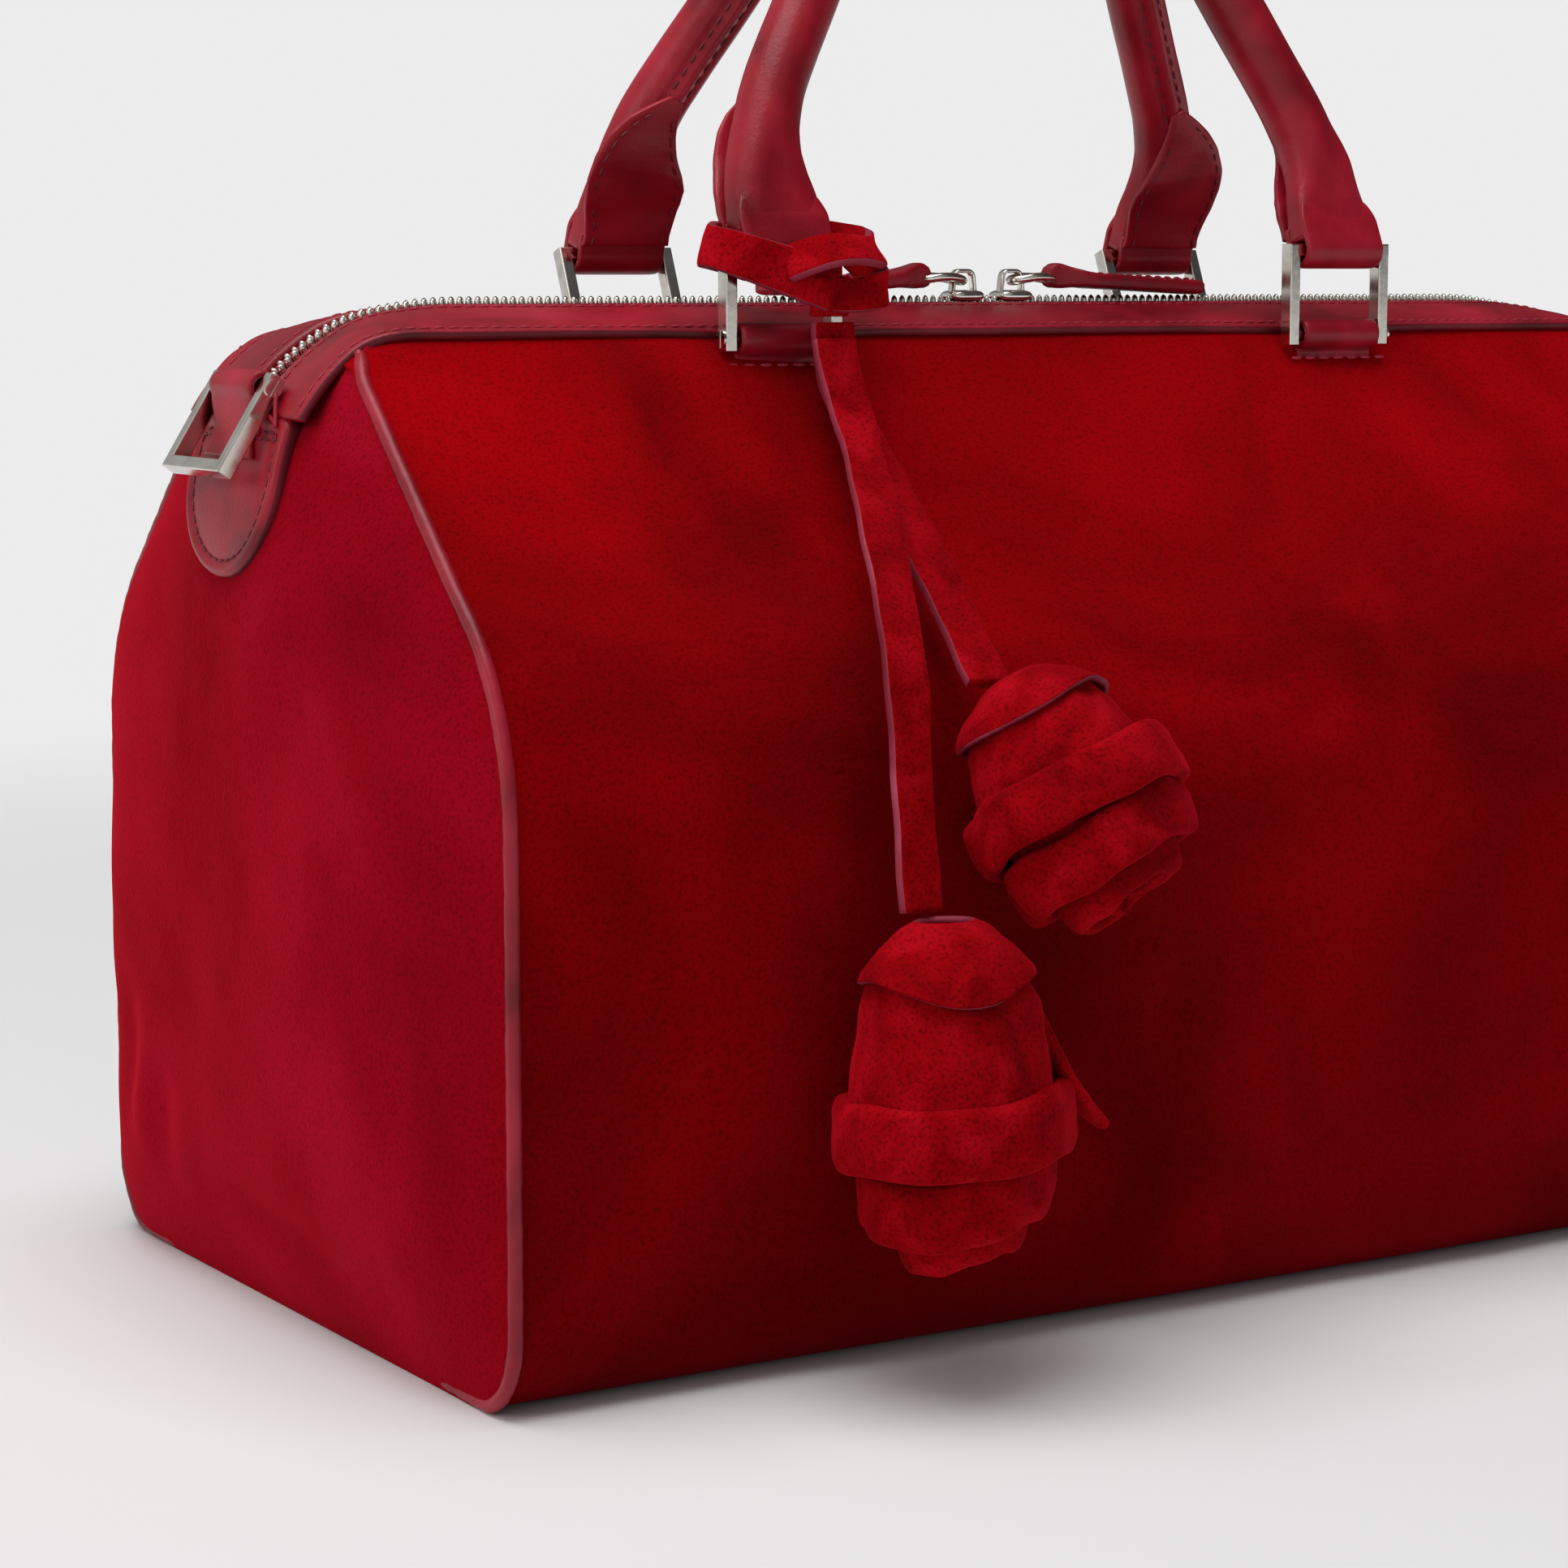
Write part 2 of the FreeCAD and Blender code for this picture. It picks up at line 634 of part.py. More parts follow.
def make_sliders():
    """The two zip sliders, each with a lug, a link and a leather pull."""
    teeth_top = ZIP_Z + TEETH_PROUD
    base = teeth_top + SLIDER_RUN
    plate_top = base + SLIDER_PLATE
    half_l = SLIDER_LENGTH / 2
    half_w = SLIDER_WIDTH / 2
    x = -SLIDER_X
    skirt_z = ZIP_Z - SLIDER_SKIRT
    inner = TEETH_HALF + SLIDER_RUN
    block = box_between((x - half_l, -half_w, skirt_z), (x + half_l, half_w, plate_top))
    channel = box_between((x - half_l - 1, -inner, skirt_z - 1), (x + half_l + 1, inner, base))
    plate = fillet_upright(block, SLIDER_CORNER_R).cut(channel)
    half_lug = LUG_LENGTH / 2
    low = (x - half_lug, -LUG_WIDTH / 2, plate_top)
    lug = box_between(low, (x + half_lug, LUG_WIDTH / 2, plate_top + LUG_HEIGHT))
    across = Vector(0, 1, 0)
    eye_z = plate_top + LUG_HEIGHT / 2
    eye_r = LINK_BAR / 2 + LINK_RUN
    eye = Part.makeCylinder(eye_r, LUG_WIDTH + 2, Vector(x, -LUG_WIDTH / 2 - 1, eye_z), across)
    slider = plate.fuse(lug).cut(eye)
    add("zip_slider_left", slider)
    add("zip_slider_right", mirror_x(slider))
    for name, piece in (("pull_link", link_loop(x, eye_z)), ("pull_tab", leather_pull(x, eye_z))):
        piece.rotate(Vector(x, 0, eye_z), across, -PULL_DROP)
        add(name + "_left", piece)
        add(name + "_right", mirror_x(piece))


def link_loop(x, z):
    """The metal link from a slider's eye to its leather pull: a round-bar rectangle."""
    half = (LINK_WIDTH - LINK_BAR) / 2
    far = x - (LINK_LENGTH - LINK_BAR)
    middle = (x + far) / 2
    corners = [
        Vector(middle, -half, z),
        Vector(x, -half, z),
        Vector(x, half, z),
        Vector(far, half, z),
        Vector(far, -half, z),
        Vector(middle, -half, z),
    ]
    return sweep_circle(rounded_path(corners, [LINK_BEND_R] * 4), LINK_BAR / 2)


def leather_pull(x, z):
    """The leather pull: a loop round the link's far bar and a flat tongue beyond it."""
    bar_x = x - (LINK_LENGTH - LINK_BAR)
    across = Vector(0, 1, 0)
    width = LINK_WIDTH - 2 * LINK_BAR - 2 * PULL_GAP
    bore = LINK_BAR / 2 + LINK_RUN
    outer = bore + PULL_LOOP_WALL
    loop = Part.makeCylinder(outer, width, Vector(bar_x, -width / 2, z), across)
    low = z - PULL_THICK / 2
    high = z + PULL_THICK / 2
    neck = box_between((bar_x - 2 * PULL_NECK, -width / 2, low), (bar_x, width / 2, high))
    near = (bar_x - PULL_NECK, PULL_WIDTH / 2, high)
    tongue = box_between((bar_x - PULL_LENGTH, -PULL_WIDTH / 2, low), near)
    tongue = fillet_upright(tongue, PULL_CORNER_R)
    hole = Part.makeCylinder(bore, width + 2, Vector(bar_x, -width / 2 - 1, z), across)
    return loop.fuse(neck).fuse(tongue).cut(hole)


def make_knot():
    """The suede collar tied round the foot of the front handle, and the bight that it hides."""
    foot = closed_bar(FRONT_LEAN)
    knee = handle_path(FRONT_LEAN, FRONT_KNEE_Y)[1]
    lean = math.degrees(math.atan2(-(knee.y - foot.y), knee.z - foot.z))
    inner_x = FLAP_WIDTH / 2 + KNOT_GAP
    inner_y = HANDLE_R + KNOT_GAP
    outer_x = inner_x + KNOT_WALL
    outer_y = inner_y + KNOT_WALL
    low = KNOT_UP - KNOT_HEIGHT / 2
    high = KNOT_UP + KNOT_HEIGHT / 2
    collar = box_between((-outer_x, -outer_y, low), (outer_x, outer_y, high))
    collar = fillet_upright(collar, outer_y * KNOT_ROUND)
    hole = box_between((-inner_x, -inner_y, low - 1), (inner_x, inner_y, high + 1))
    hole = fillet_upright(hole, inner_y * KNOT_HOLE_ROUND)
    knot = collar.cut(hole)
    knot.rotate(Vector(0, 0, 0), Vector(1, 0, 0), lean)
    add("charm_knot", knot.translated(foot))


def strap_path(route):
    """A strap's centre line: its runs, with each turn as large an arc as they leave room for."""
    points = [Vector(x, -out, z) for x, out, z in route]
    radii = []
    for before, point, after in zip(points, points[1:], points[2:]):
        turn = (point - before).getAngle(after - point)
        shorter = min((point - before).Length, (after - point).Length)
        radii.append(ARC_SHARE * shorter / math.tan(turn / 2))
    print("radii", ["%.0f" % radius for radius in radii])
    return rounded_path(points, radii)


def sweep_strap(path):
    """A flat strap along a path that lies across X."""
    first = path.OrderedEdges[0]
    start = first.valueAt(first.FirstParameter)
    along = first.tangentAt(first.FirstParameter)
    half_w = Vector(STRAP_WIDTH / 2, 0, 0)
    half_t = along.cross(Vector(1, 0, 0)).normalize() * (STRAP_THICK / 2)
    right = [start + half_w + half_t, start + half_w - half_t]
    left = [start - half_w - half_t, start - half_w + half_t]
    section = Part.makePolygon(right + left + right[:1])
    return path.makePipeShell([section], True, False)


def rose(head):
    """A rolled suede rose hanging down from the origin: calyx, bud and two rolled petals."""
    bud_r = head["bud_r"]
    neck_r = head["neck_r"]
    calyx_end = head["calyx"]
    petal_start = head["petals"]
    length = head["length"]
    stem_r = STRAP_WIDTH / 2 + STEM_WALL
    gap = PETAL_GAP
    middle = (petal_start + length) / 2
    calyx = revolve([(0, 0), (stem_r, 0), (neck_r, calyx_end), (0, calyx_end)])
    swell = calyx_end + (petal_start - calyx_end) * BUD_SWELL
    bud = revolve([
        (0, calyx_end + CALYX_GAP),
        (neck_r, calyx_end + CALYX_GAP),
        (bud_r, swell),
        (bud_r, petal_start - BUD_TUCK),
        (neck_r, petal_start - PETAL_GAP),
        (neck_r * HEART_SHARE, length - PETAL_UP),
        (neck_r * HEART_TIP_SHARE, length),
        (0, length),
    ])
    inner = neck_r + gap
    upper = ring_petal(inner, head["petal_r"], petal_start, middle - gap)
    lower = ring_petal(inner, head["tip_r"], middle, length - PETAL_UP)
    return {"calyx": calyx, "bud": bud, "petals": Part.makeCompound([upper, lower])}


def revolve(profile):
    """A solid of revolution about Z from (radius, depth below the origin) points."""
    points = [Vector(r, 0, -depth) for r, depth in profile]
    face = Part.Face(Part.makePolygon(points + points[:1]))
    return face.revolve(Vector(0, 0, 0), Vector(0, 0, 1), 360)


def ring_petal(inner, outer, top, bottom):
    """One rolled petal: a ring with rounded edges round the bud."""
    block = revolve([(inner, top), (outer, top), (outer, bottom), (inner, bottom)])
    rims = []
    for edge in block.Edges:
        if isinstance(edge.Curve, Part.Circle) and abs(edge.Curve.Radius - outer) < 1e-6:
            rims.append(edge)
    return block.makeFillet(min((bottom - top), (outer - inner)) * PETAL_ROUND, rims)


def place_rose(name, head, top):
    """Hang a rose from its strap's end."""
    for kind, piece in rose(head).items():
        piece.rotate(Vector(0, 0, 0), Vector(1, 0, 0), -head["out"])
        piece.rotate(Vector(0, 0, 0), Vector(0, 1, 0), head["across"])
        add("rose_%s_%s" % (name, kind), piece.translated(top))


def make_strap(name, route):
    """One strap; returns the point at its foot."""
    path = strap_path(route)
    strap = sweep_strap(path)
    add("strap_" + name, strap)
    section = STRAP_WIDTH * STRAP_THICK
    share = strap.Volume / (section * path.Length)
    print("strap_%s length %.1f mm, volume %.3f of section x length" % (name, path.Length, share))
    x, out, z = route[-1]
    return Vector(x, -out - ROSE_GAP, z - ROSE_GAP)


def make_charm():
    """The bight, both straps and both roses."""
    top = SHORT_ROUTE[0][1]
    low = (BIGHT_X - BIGHT_WIDTH / 2, -top - STRAP_THICK / 2, STRAP_TOP_Z + BIGHT_GAP)
    high = (BIGHT_X + BIGHT_WIDTH / 2, -top + STRAP_THICK / 2, STRAP_TOP_Z + STRAP_THICK)
    add("charm_bight", box_between(low, high))
    place_rose("short", SHORT_ROSE, make_strap("short", SHORT_ROUTE))
    place_rose("long", LONG_ROSE, make_strap("long", LONG_ROUTE))


def write_parts():
    """Write one STEP file per node."""
    os.makedirs("parts", exist_ok=True)
    for name, shape in PARTS.items():
        if not shape.isValid():
            print("NOT VALID", name)
        shape.exportStep("parts/%s.step" % name)
    print("%d nodes" % len(PARTS))


make_skin()
make_zip()
place_rings()
make_end_hardware()
make_handle("front", FRONT_LEAN, FRONT_KNEE_Y)
make_handle("back", BACK_LEAN, BACK_KNEE_Y)
make_sliders()
make_knot()
make_charm()
write_parts()
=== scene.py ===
"""Looks of a soft suede duffle handbag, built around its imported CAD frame.

Lengths are in metres in the bag's own frame: +Z up, the front faces -Y, the length runs along X.
The suede skin, the leather trim, the zip with its sliders and pulls, the rolled handles and the rose
charm are made here. The metal rings, their pins, the zip's stops, the base board and the cord inside
the piping are the CAD nodes with their finishes.
"""

import json
import logging
import math
from dataclasses import dataclass, field
from enum import Enum
from typing import Any, Callable, Sequence

import bpy
import numpy as np
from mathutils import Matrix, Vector


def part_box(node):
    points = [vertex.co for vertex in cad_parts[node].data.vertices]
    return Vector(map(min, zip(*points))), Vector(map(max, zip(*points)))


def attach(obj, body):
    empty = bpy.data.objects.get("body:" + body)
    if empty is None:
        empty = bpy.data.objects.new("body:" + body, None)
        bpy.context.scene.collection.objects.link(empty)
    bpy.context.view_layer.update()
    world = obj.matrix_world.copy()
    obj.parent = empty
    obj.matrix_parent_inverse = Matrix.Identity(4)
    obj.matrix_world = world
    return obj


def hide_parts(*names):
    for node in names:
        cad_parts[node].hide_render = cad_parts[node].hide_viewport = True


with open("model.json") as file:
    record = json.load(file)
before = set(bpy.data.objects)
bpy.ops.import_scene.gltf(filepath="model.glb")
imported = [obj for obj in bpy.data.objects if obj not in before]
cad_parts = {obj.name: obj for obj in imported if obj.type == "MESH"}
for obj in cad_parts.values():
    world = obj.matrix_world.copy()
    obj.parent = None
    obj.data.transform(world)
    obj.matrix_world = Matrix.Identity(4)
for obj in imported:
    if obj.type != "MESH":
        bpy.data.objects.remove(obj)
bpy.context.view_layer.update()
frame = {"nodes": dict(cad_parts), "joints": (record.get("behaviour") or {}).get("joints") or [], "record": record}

LOG = logging.getLogger("duffle_bag")
MM = 0.001

Array = np.ndarray
Tree = bpy.types.NodeTree
Piece = bpy.types.Object


class Part(Enum):
    """A choice that prints as the nodes' names have it."""

    def __str__(self) -> str:
        """The name in small letters."""
        return self.name.lower()


class Side(Part):
    """The bag's front and back, by the sign of Y."""

    FRONT = -1
    BACK = 1


class End(Part):
    """The bag's left and right ends, by the sign of X."""

    LEFT = -1
    RIGHT = 1


# ---------------- materials


def linear(hex_colour: str) -> tuple[float, float, float, float]:
    """Turn an sRGB hex colour into linear values.

    Args:
        hex_colour: six hex digits, such as "8c2a38".

    Returns:
        Red, green, blue and an alpha of 1.
    """
    channels = [int(hex_colour[i : i + 2], 16) / 255 for i in (0, 2, 4)]
    values = [c / 12.92 if c <= 0.04045 else ((c + 0.055) / 1.055) ** 2.4 for c in channels]
    return (*values, 1.0)


def add_node(
    tree: Tree,
    kind: str,
    inputs: dict[Any, Any] | None = None,
    stops: Sequence[tuple[float, str]] = (),
    **settings: Any,
) -> Any:
    """Add one node, set its properties, and set or link its inputs.

    Args:
        tree: the node tree.
        kind: the node's type name.
        inputs: socket name or index to a value, or to the output socket that feeds it.
        stops: a colour ramp's positions and hex colours.
        settings: properties of the node.

    Returns:
        The new node.
    """
    node = tree.nodes.new(kind)
    for name, value in settings.items():
        setattr(node, name, value)
    for key, value in (inputs or {}).items():
        if isinstance(value, bpy.types.NodeSocket):
            tree.links.new(value, node.inputs[key])
        else:
            node.inputs[key].default_value = value
    if stops:
        elements = node.color_ramp.elements
        while len(elements) < len(stops):
            elements.new(0.5)
        for element, (position, colour) in zip(elements, stops):
            element.position = position
            element.color = linear(colour)
    return node


def lumps(place: Any, size_mm: float, detail: float = 2.0, warp: float = 0.0) -> dict[str, Any]:
    """The inputs of a noise whose lumps are about size_mm across."""
    return {"Vector": place, "Scale": 1 / (size_mm * MM), "Detail": detail, "Distortion": warp}


def relief(height: Any, depth_mm: float) -> dict[str, Any]:
    """The inputs of a bump of a real depth."""
    return {"Height": height, "Distance": depth_mm * MM, "Strength": 1.0}


def crossing_ribs(tree: Tree, place: Any, pitch_mm: float, other: str) -> Any:
    """Woven cloth's height: ribs across X and across another axis, whichever is on top.

    Args:
        tree: the node tree.
        place: the socket with the pattern's coordinates.
        pitch_mm: the pitch of the waves.
        other: the other axis, Y or Z.

    Returns:
        The height's socket.
    """
    wave = {"Vector": place, "Scale": 1 / (pitch_mm * MM)}
    warp = add_node(tree, "ShaderNodeTexWave", wave, bands_direction="X").outputs["Fac"]
    weft = add_node(tree, "ShaderNodeTexWave", wave, bands_direction=other).outputs["Fac"]
    return add_node(tree, "ShaderNodeMath", {0: warp, 1: weft}, operation="MAXIMUM").outputs[0]


@dataclass(frozen=True)
class Finish:
    """What every finish shares: a name, the record's slot, and a principled shader."""

    name: str
    slot: str

    def material(self) -> bpy.types.Material:
        """Make the material, the first time that it is asked for.

        Returns:
            The material.
        """
        found = bpy.data.materials.get(self.name)
        if found:
            return found
        material = bpy.data.materials.new(self.name)
        material.use_nodes = True
        tree = material.node_tree
        tree.nodes.clear()
        place = add_node(tree, "ShaderNodeTexCoord").outputs["Object"]
        shader = add_node(tree, "ShaderNodeBsdfPrincipled", self.surface(tree, place))
        add_node(tree, "ShaderNodeOutputMaterial", {"Surface": shader.outputs["BSDF"]})
        return material

    def surface(self, tree: Tree, place: Any) -> dict[str, Any]:
        """Give the shader's inputs: its colour, gloss and bump. Each kind of finish has its own."""
        raise NotImplementedError


@dataclass(frozen=True)
class Suede(Finish):
    """Split leather buffed to a short nap.

    The nap scatters light at its edges, so the suede looks velvety: deep red face on, a soft pink
    bloom at grazing angles, and cloudy patches where the nap was brushed one way or the other.
    """

    deep: str = "7a0003"
    mid: str = "960004"
    light: str = "ad020a"
    cloud_mm: float = 95.0
    fibre_mm: float = 0.9       # real fibres are half of this: drawn coarse enough to show
    bloom: float = 0.3
    fleck: float = 0.4
    low: float = 1.0            # brightness towards the base: painted shade that dims the colour downwards

    def surface(self, tree: Tree, place: Any) -> dict[str, Any]:
        """Cloudy nap, brush strokes, fine speckle and a fibre bump."""
        cloud = add_node(tree, "ShaderNodeTexNoise", lumps(place, self.cloud_mm, 3.0, 0.7)).outputs["Fac"]
        nap = ((0.34, self.deep), (0.5, self.mid), (0.68, self.light))
        base = add_node(tree, "ShaderNodeValToRGB", {"Fac": cloud}, nap).outputs["Color"]
        brushed = {"Vector": place, "Rotation": (0.3, 0.5, 0.4), "Scale": (1.0, 1.0, 3.2)}
        slant = add_node(tree, "ShaderNodeMapping", brushed).outputs["Vector"]
        stroke = add_node(tree, "ShaderNodeTexNoise", lumps(slant, 22.0, 4.0, 1.2)).outputs["Fac"]
        weight = add_node(tree, "ShaderNodeMapRange", {"Value": stroke, "To Min": -0.25, "To Max": 0.6})
        pale = {0: weight.outputs["Result"], 6: base, 7: linear(self.light)}
        stroked = add_node(tree, "ShaderNodeMix", pale, data_type="RGBA").outputs[2]
        patchy = add_node(tree, "ShaderNodeMix", {0: 0.28, 6: base, 7: stroked}, data_type="RGBA").outputs[2]
        speck = add_node(tree, "ShaderNodeTexNoise", lumps(place, self.fibre_mm)).outputs["Fac"]
        specks = ((0.3, "6e6e6e"), (0.52, "ffffff"), (0.7, "ffffff"))
        dark = add_node(tree, "ShaderNodeValToRGB", {"Fac": speck}, specks).outputs["Color"]
        over = {0: self.fleck, 6: patchy, 7: dark}
        colour = add_node(tree, "ShaderNodeMix", over, data_type="RGBA", blend_type="MULTIPLY").outputs[2]
        # painted shade: the colour darkens towards the base when low is below 1
        if self.low < 1.0:
            colour = self.dimmed_below(tree, place, colour)
        swell = add_node(tree, "ShaderNodeTexNoise", lumps(place, 9.0)).outputs["Fac"]
        soft = add_node(tree, "ShaderNodeBump", relief(swell, 0.14)).outputs["Normal"]
        fibre = add_node(tree, "ShaderNodeBump", relief(speck, 0.24) | {"Normal": soft}).outputs["Normal"]
        matt = add_node(tree, "ShaderNodeMapRange", {"Value": cloud, "To Min": 0.88, "To Max": 1.0})
        return {
            "Base Color": colour,
            "Normal": fibre,
            "Roughness": matt.outputs["Result"],
            "Specular IOR Level": 0.03,
            "Sheen Weight": self.bloom,
            "Sheen Roughness": 0.42,
            "Sheen Tint": linear("ff1c38"),
        }

    def dimmed_below(self, tree: Tree, place: Any, colour: Any) -> Any:
        """Dim a colour towards the bag's base, as painted shade.

        Args:
            tree: the node tree.
            place: the socket with the object's coordinates.
            colour: the colour's socket.

        Returns:
            The dimmed colour's socket.
        """
        height = add_node(tree, "ShaderNodeSeparateXYZ", {0: place}).outputs["Z"]
        span = {"Value": height, "From Min": 0.04, "From Max": 0.22, "To Min": self.low, "To Max": 1.0}
        rise = add_node(tree, "ShaderNodeMapRange", span, interpolation_type="SMOOTHSTEP").outputs["Result"]
        shade = {0: colour, "Scale": rise}
        return add_node(tree, "ShaderNodeVectorMath", shade, operation="SCALE").outputs["Vector"]


@dataclass(frozen=True)
class Calf(Finish):
    """Chrome-tanned calf, dyed through and lightly polished.

    A fine pebble grain breaks up a satin highlight, and creases and handling leave it a little
    lighter and darker in patches.
    """

    deep: str = "6e0614"
    mid: str = "980e23"
    light: str = "b01a34"
    grain_mm: float = 0.9
    gloss: float = 0.36

    def surface(self, tree: Tree, place: Any) -> dict[str, Any]:
        """Pebble grain, patches of handling and a satin roughness."""
        patch = add_node(tree, "ShaderNodeTexNoise", lumps(place, 26.0, 3.0, 0.4)).outputs["Fac"]
        dye = ((0.3, self.deep), (0.52, self.mid), (0.75, self.light))
        colour = add_node(tree, "ShaderNodeValToRGB", {"Fac": patch}, dye).outputs["Color"]
        cells = add_node(tree, "ShaderNodeTexVoronoi", {"Vector": place, "Scale": 1 / (self.grain_mm * MM)})
        pebble = cells.outputs["Distance"]
        pore = add_node(tree, "ShaderNodeMapRange", {"Value": pebble, "To Min": 0.0, "To Max": 0.22})
        pores = {0: pore.outputs["Result"], 6: colour, 7: linear(self.deep)}
        crumple = add_node(tree, "ShaderNodeTexNoise", lumps(place, 5.0, 3.0, 0.6)).outputs["Fac"]
        creases = add_node(tree, "ShaderNodeBump", relief(crumple, 0.10)).outputs["Normal"]
        raised = add_node(tree, "ShaderNodeMapRange", {"Value": pebble, "To Min": 1.0, "To Max": 0.0})
        grain = relief(raised.outputs["Result"], 0.035) | {"Normal": creases}
        satin = {"Value": patch, "To Min": self.gloss - 0.07, "To Max": self.gloss + 0.1}
        return {
            "Base Color": add_node(tree, "ShaderNodeMix", pores, data_type="RGBA").outputs[2],
            "Normal": add_node(tree, "ShaderNodeBump", grain).outputs["Normal"],
            "Roughness": add_node(tree, "ShaderNodeMapRange", satin).outputs["Result"],
            "IOR": 1.5,
            "Specular IOR Level": 0.32,
        }


@dataclass(frozen=True)
class Thread(Finish):
    """Twisted polyester sewing thread: a slight sheen and a fine diagonal twist."""

    colour: str = "bd2342"
    shade: str = "7d1228"

    def surface(self, tree: Tree, place: Any) -> dict[str, Any]:
        """A twist too fine to resolve, drawn at 0.6 mm."""
        slant = add_node(tree, "ShaderNodeMapping", {"Vector": place, "Rotation": (0.7, 0.4, 0.5)})
        wave = {"Vector": slant.outputs["Vector"], "Scale": 1 / (1.9 * MM)}
        twist = add_node(tree, "ShaderNodeTexWave", wave).outputs["Fac"]
        dye = ((0.2, self.shade), (0.7, self.colour))
        return {
            "Base Color": add_node(tree, "ShaderNodeValToRGB", {"Fac": twist}, dye).outputs["Color"],
            "Normal": add_node(tree, "ShaderNodeBump", relief(twist, 0.06)).outputs["Normal"],
            "Roughness": 0.55,
        }


@dataclass(frozen=True)
class Tape(Finish):
    """Woven polyester zip tape: a fine herringbone of ribs, matt with a little sheen."""

    colour: str = "b3122f"
    shade: str = "6e0719"

    def surface(self, tree: Tree, place: Any) -> dict[str, Any]:
        """Ribs across and along at 0.8 mm."""
        ribs = crossing_ribs(tree, place, 2.6, "Y")
        dye = ((0.25, self.shade), (0.8, self.colour))
        return {
            "Base Color": add_node(tree, "ShaderNodeValToRGB", {"Fac": ribs}, dye).outputs["Color"],
            "Normal": add_node(tree, "ShaderNodeBump", relief(ribs, 0.12)).outputs["Normal"],
            "Roughness": 0.8,
            "Sheen Weight": 0.25,
        }


@dataclass(frozen=True)
class Nickel(Finish):
    """Polished zinc alloy with a nickel plate: near mirror, faint wipe marks, slightly warm."""

    colour: str = "e9e5de"
    shade: str = "cfcac0"
    gloss: float = 0.10

    def surface(self, tree: Tree, place: Any) -> dict[str, Any]:
        """A mirror finish with smudges in its roughness."""
        smudge = add_node(tree, "ShaderNodeTexNoise", lumps(place, 6.0, 4.0, 0.3)).outputs["Fac"]
        plate = ((0.3, self.shade), (0.7, self.colour))
        wiped = {"Value": smudge, "To Min": self.gloss - 0.05, "To Max": self.gloss + 0.1}
        peel = add_node(tree, "ShaderNodeTexNoise", lumps(place, 2.0)).outputs["Fac"]
        return {
            "Base Color": add_node(tree, "ShaderNodeValToRGB", {"Fac": smudge}, plate).outputs["Color"],
            "Normal": add_node(tree, "ShaderNodeBump", relief(peel, 0.006)).outputs["Normal"],
            "Roughness": add_node(tree, "ShaderNodeMapRange", wiped).outputs["Result"],
            "Metallic": 1.0,
        }


@dataclass(frozen=True)
class Woven(Finish):
    """Plain woven cotton, board or cord inside the bag: matt, with crossing threads."""

    colour: str = "5c0d18"
    shade: str = "36060d"
    thread_mm: float = 0.9

    def surface(self, tree: Tree, place: Any) -> dict[str, Any]:
        """Crossing threads over a plain matt cloth."""
        threads = crossing_ribs(tree, place, self.thread_mm * 3.2, "Z")
        dye = ((0.3, self.shade), (0.9, self.colour))
        return {
            "Base Color": add_node(tree, "ShaderNodeValToRGB", {"Fac": threads}, dye).outputs["Color"],
            "Normal": add_node(tree, "ShaderNodeBump", relief(threads, 0.1)).outputs["Normal"],
            "Roughness": 0.9,
        }


SUEDE = Suede("suede_split_calf_red", "suede")
# the flank's suede carries painted shade: its colour dims to 0.6 of itself towards the base
FLANK_SUEDE = Suede("suede_flank_red", "suede", deep="6c0002", mid="880003", light="a60108", low=0.6)
END_SUEDE = Suede("suede_end_red", "suede", deep="76000a", mid="8c0214", light="9c0820", bloom=0.4)
CHARM_SUEDE = Suede(
    "suede_charm_red", "suede",
    deep="780006", mid="920209", light="ab0816", cloud_mm=15.0, bloom=0.34, fleck=0.55,
)
CUT_EDGE = Calf(
    "suede_cut_edge_pink", "suede", deep="6d0f20", mid="93283e", light="b04c62", grain_mm=1.2, gloss=0.6
)
CALF = Calf("calf_leather_burgundy", "calf_leather")
PIPING_CALF = Calf("calf_piping_burgundy", "calf_leather", deep="6e0817", mid="961327", light="b02238")
EDGE_PAINT = Calf(
    "edge_paint_burgundy", "calf_leather", deep="4a0812", mid="66101e", light="7d1a2a", gloss=0.5
)
THREAD = Thread("polyester_thread_rose", "calf_leather")
DARK_THREAD = Thread("polyester_thread_wine", "calf_leather", colour="7a1226", shade="4a0814")
TAPE = Tape("woven_zip_tape_red", "zip_tape")
NICKEL = Nickel("polished_nickel_plate", "nickel")
TEETH_NICKEL = Nickel("zip_tooth_nickel", "nickel", colour="dcd8d0", gloss=0.2)
LINING = Woven("cotton_lining_wine", "lining_cloth")
BOARD = Woven("covered_base_board", "board", colour="2b2422", shade="191412", thread_mm=1.4)
CORE = Woven("cotton_rope_core", "cord_core", colour="c9bda8", shade="8d8170", thread_mm=1.6)


# ---------------- meshes


def unit(vectors: Array) -> Array:
    """Scale each vector to a length of one."""
    length = np.linalg.norm(vectors, axis=-1, keepdims=True)
    return vectors / np.maximum(length, 1e-12)


def smoothstep(value: Array, low: float, high: float) -> Array:
    """Rise smoothly from 0 at low to 1 at high."""
    t = np.clip((np.asarray(value, float) - low) / (high - low), 0.0, 1.0)
    return t * t * (3 - 2 * t)


def run_of(path: Array) -> Array:
    """Distance along a path at each of its points."""
    return np.concatenate([[0], np.cumsum(np.linalg.norm(np.diff(path, axis=0), axis=1))])


def soft_min(a: Array, b: Array, reach: float) -> Array:
    """The lower of a and b, eased where they are within reach of each other."""
    h = np.maximum(reach - np.abs(a - b), 0.0) / reach
    return np.minimum(a, b) - h * h * reach / 4


def in_scene(name: str, data: Any) -> Piece:
    """Make an object of a mesh, curve, light or camera, and put it in the scene."""
    thing = bpy.data.objects.new(name, data)
    bpy.context.scene.collection.objects.link(thing)
    return thing


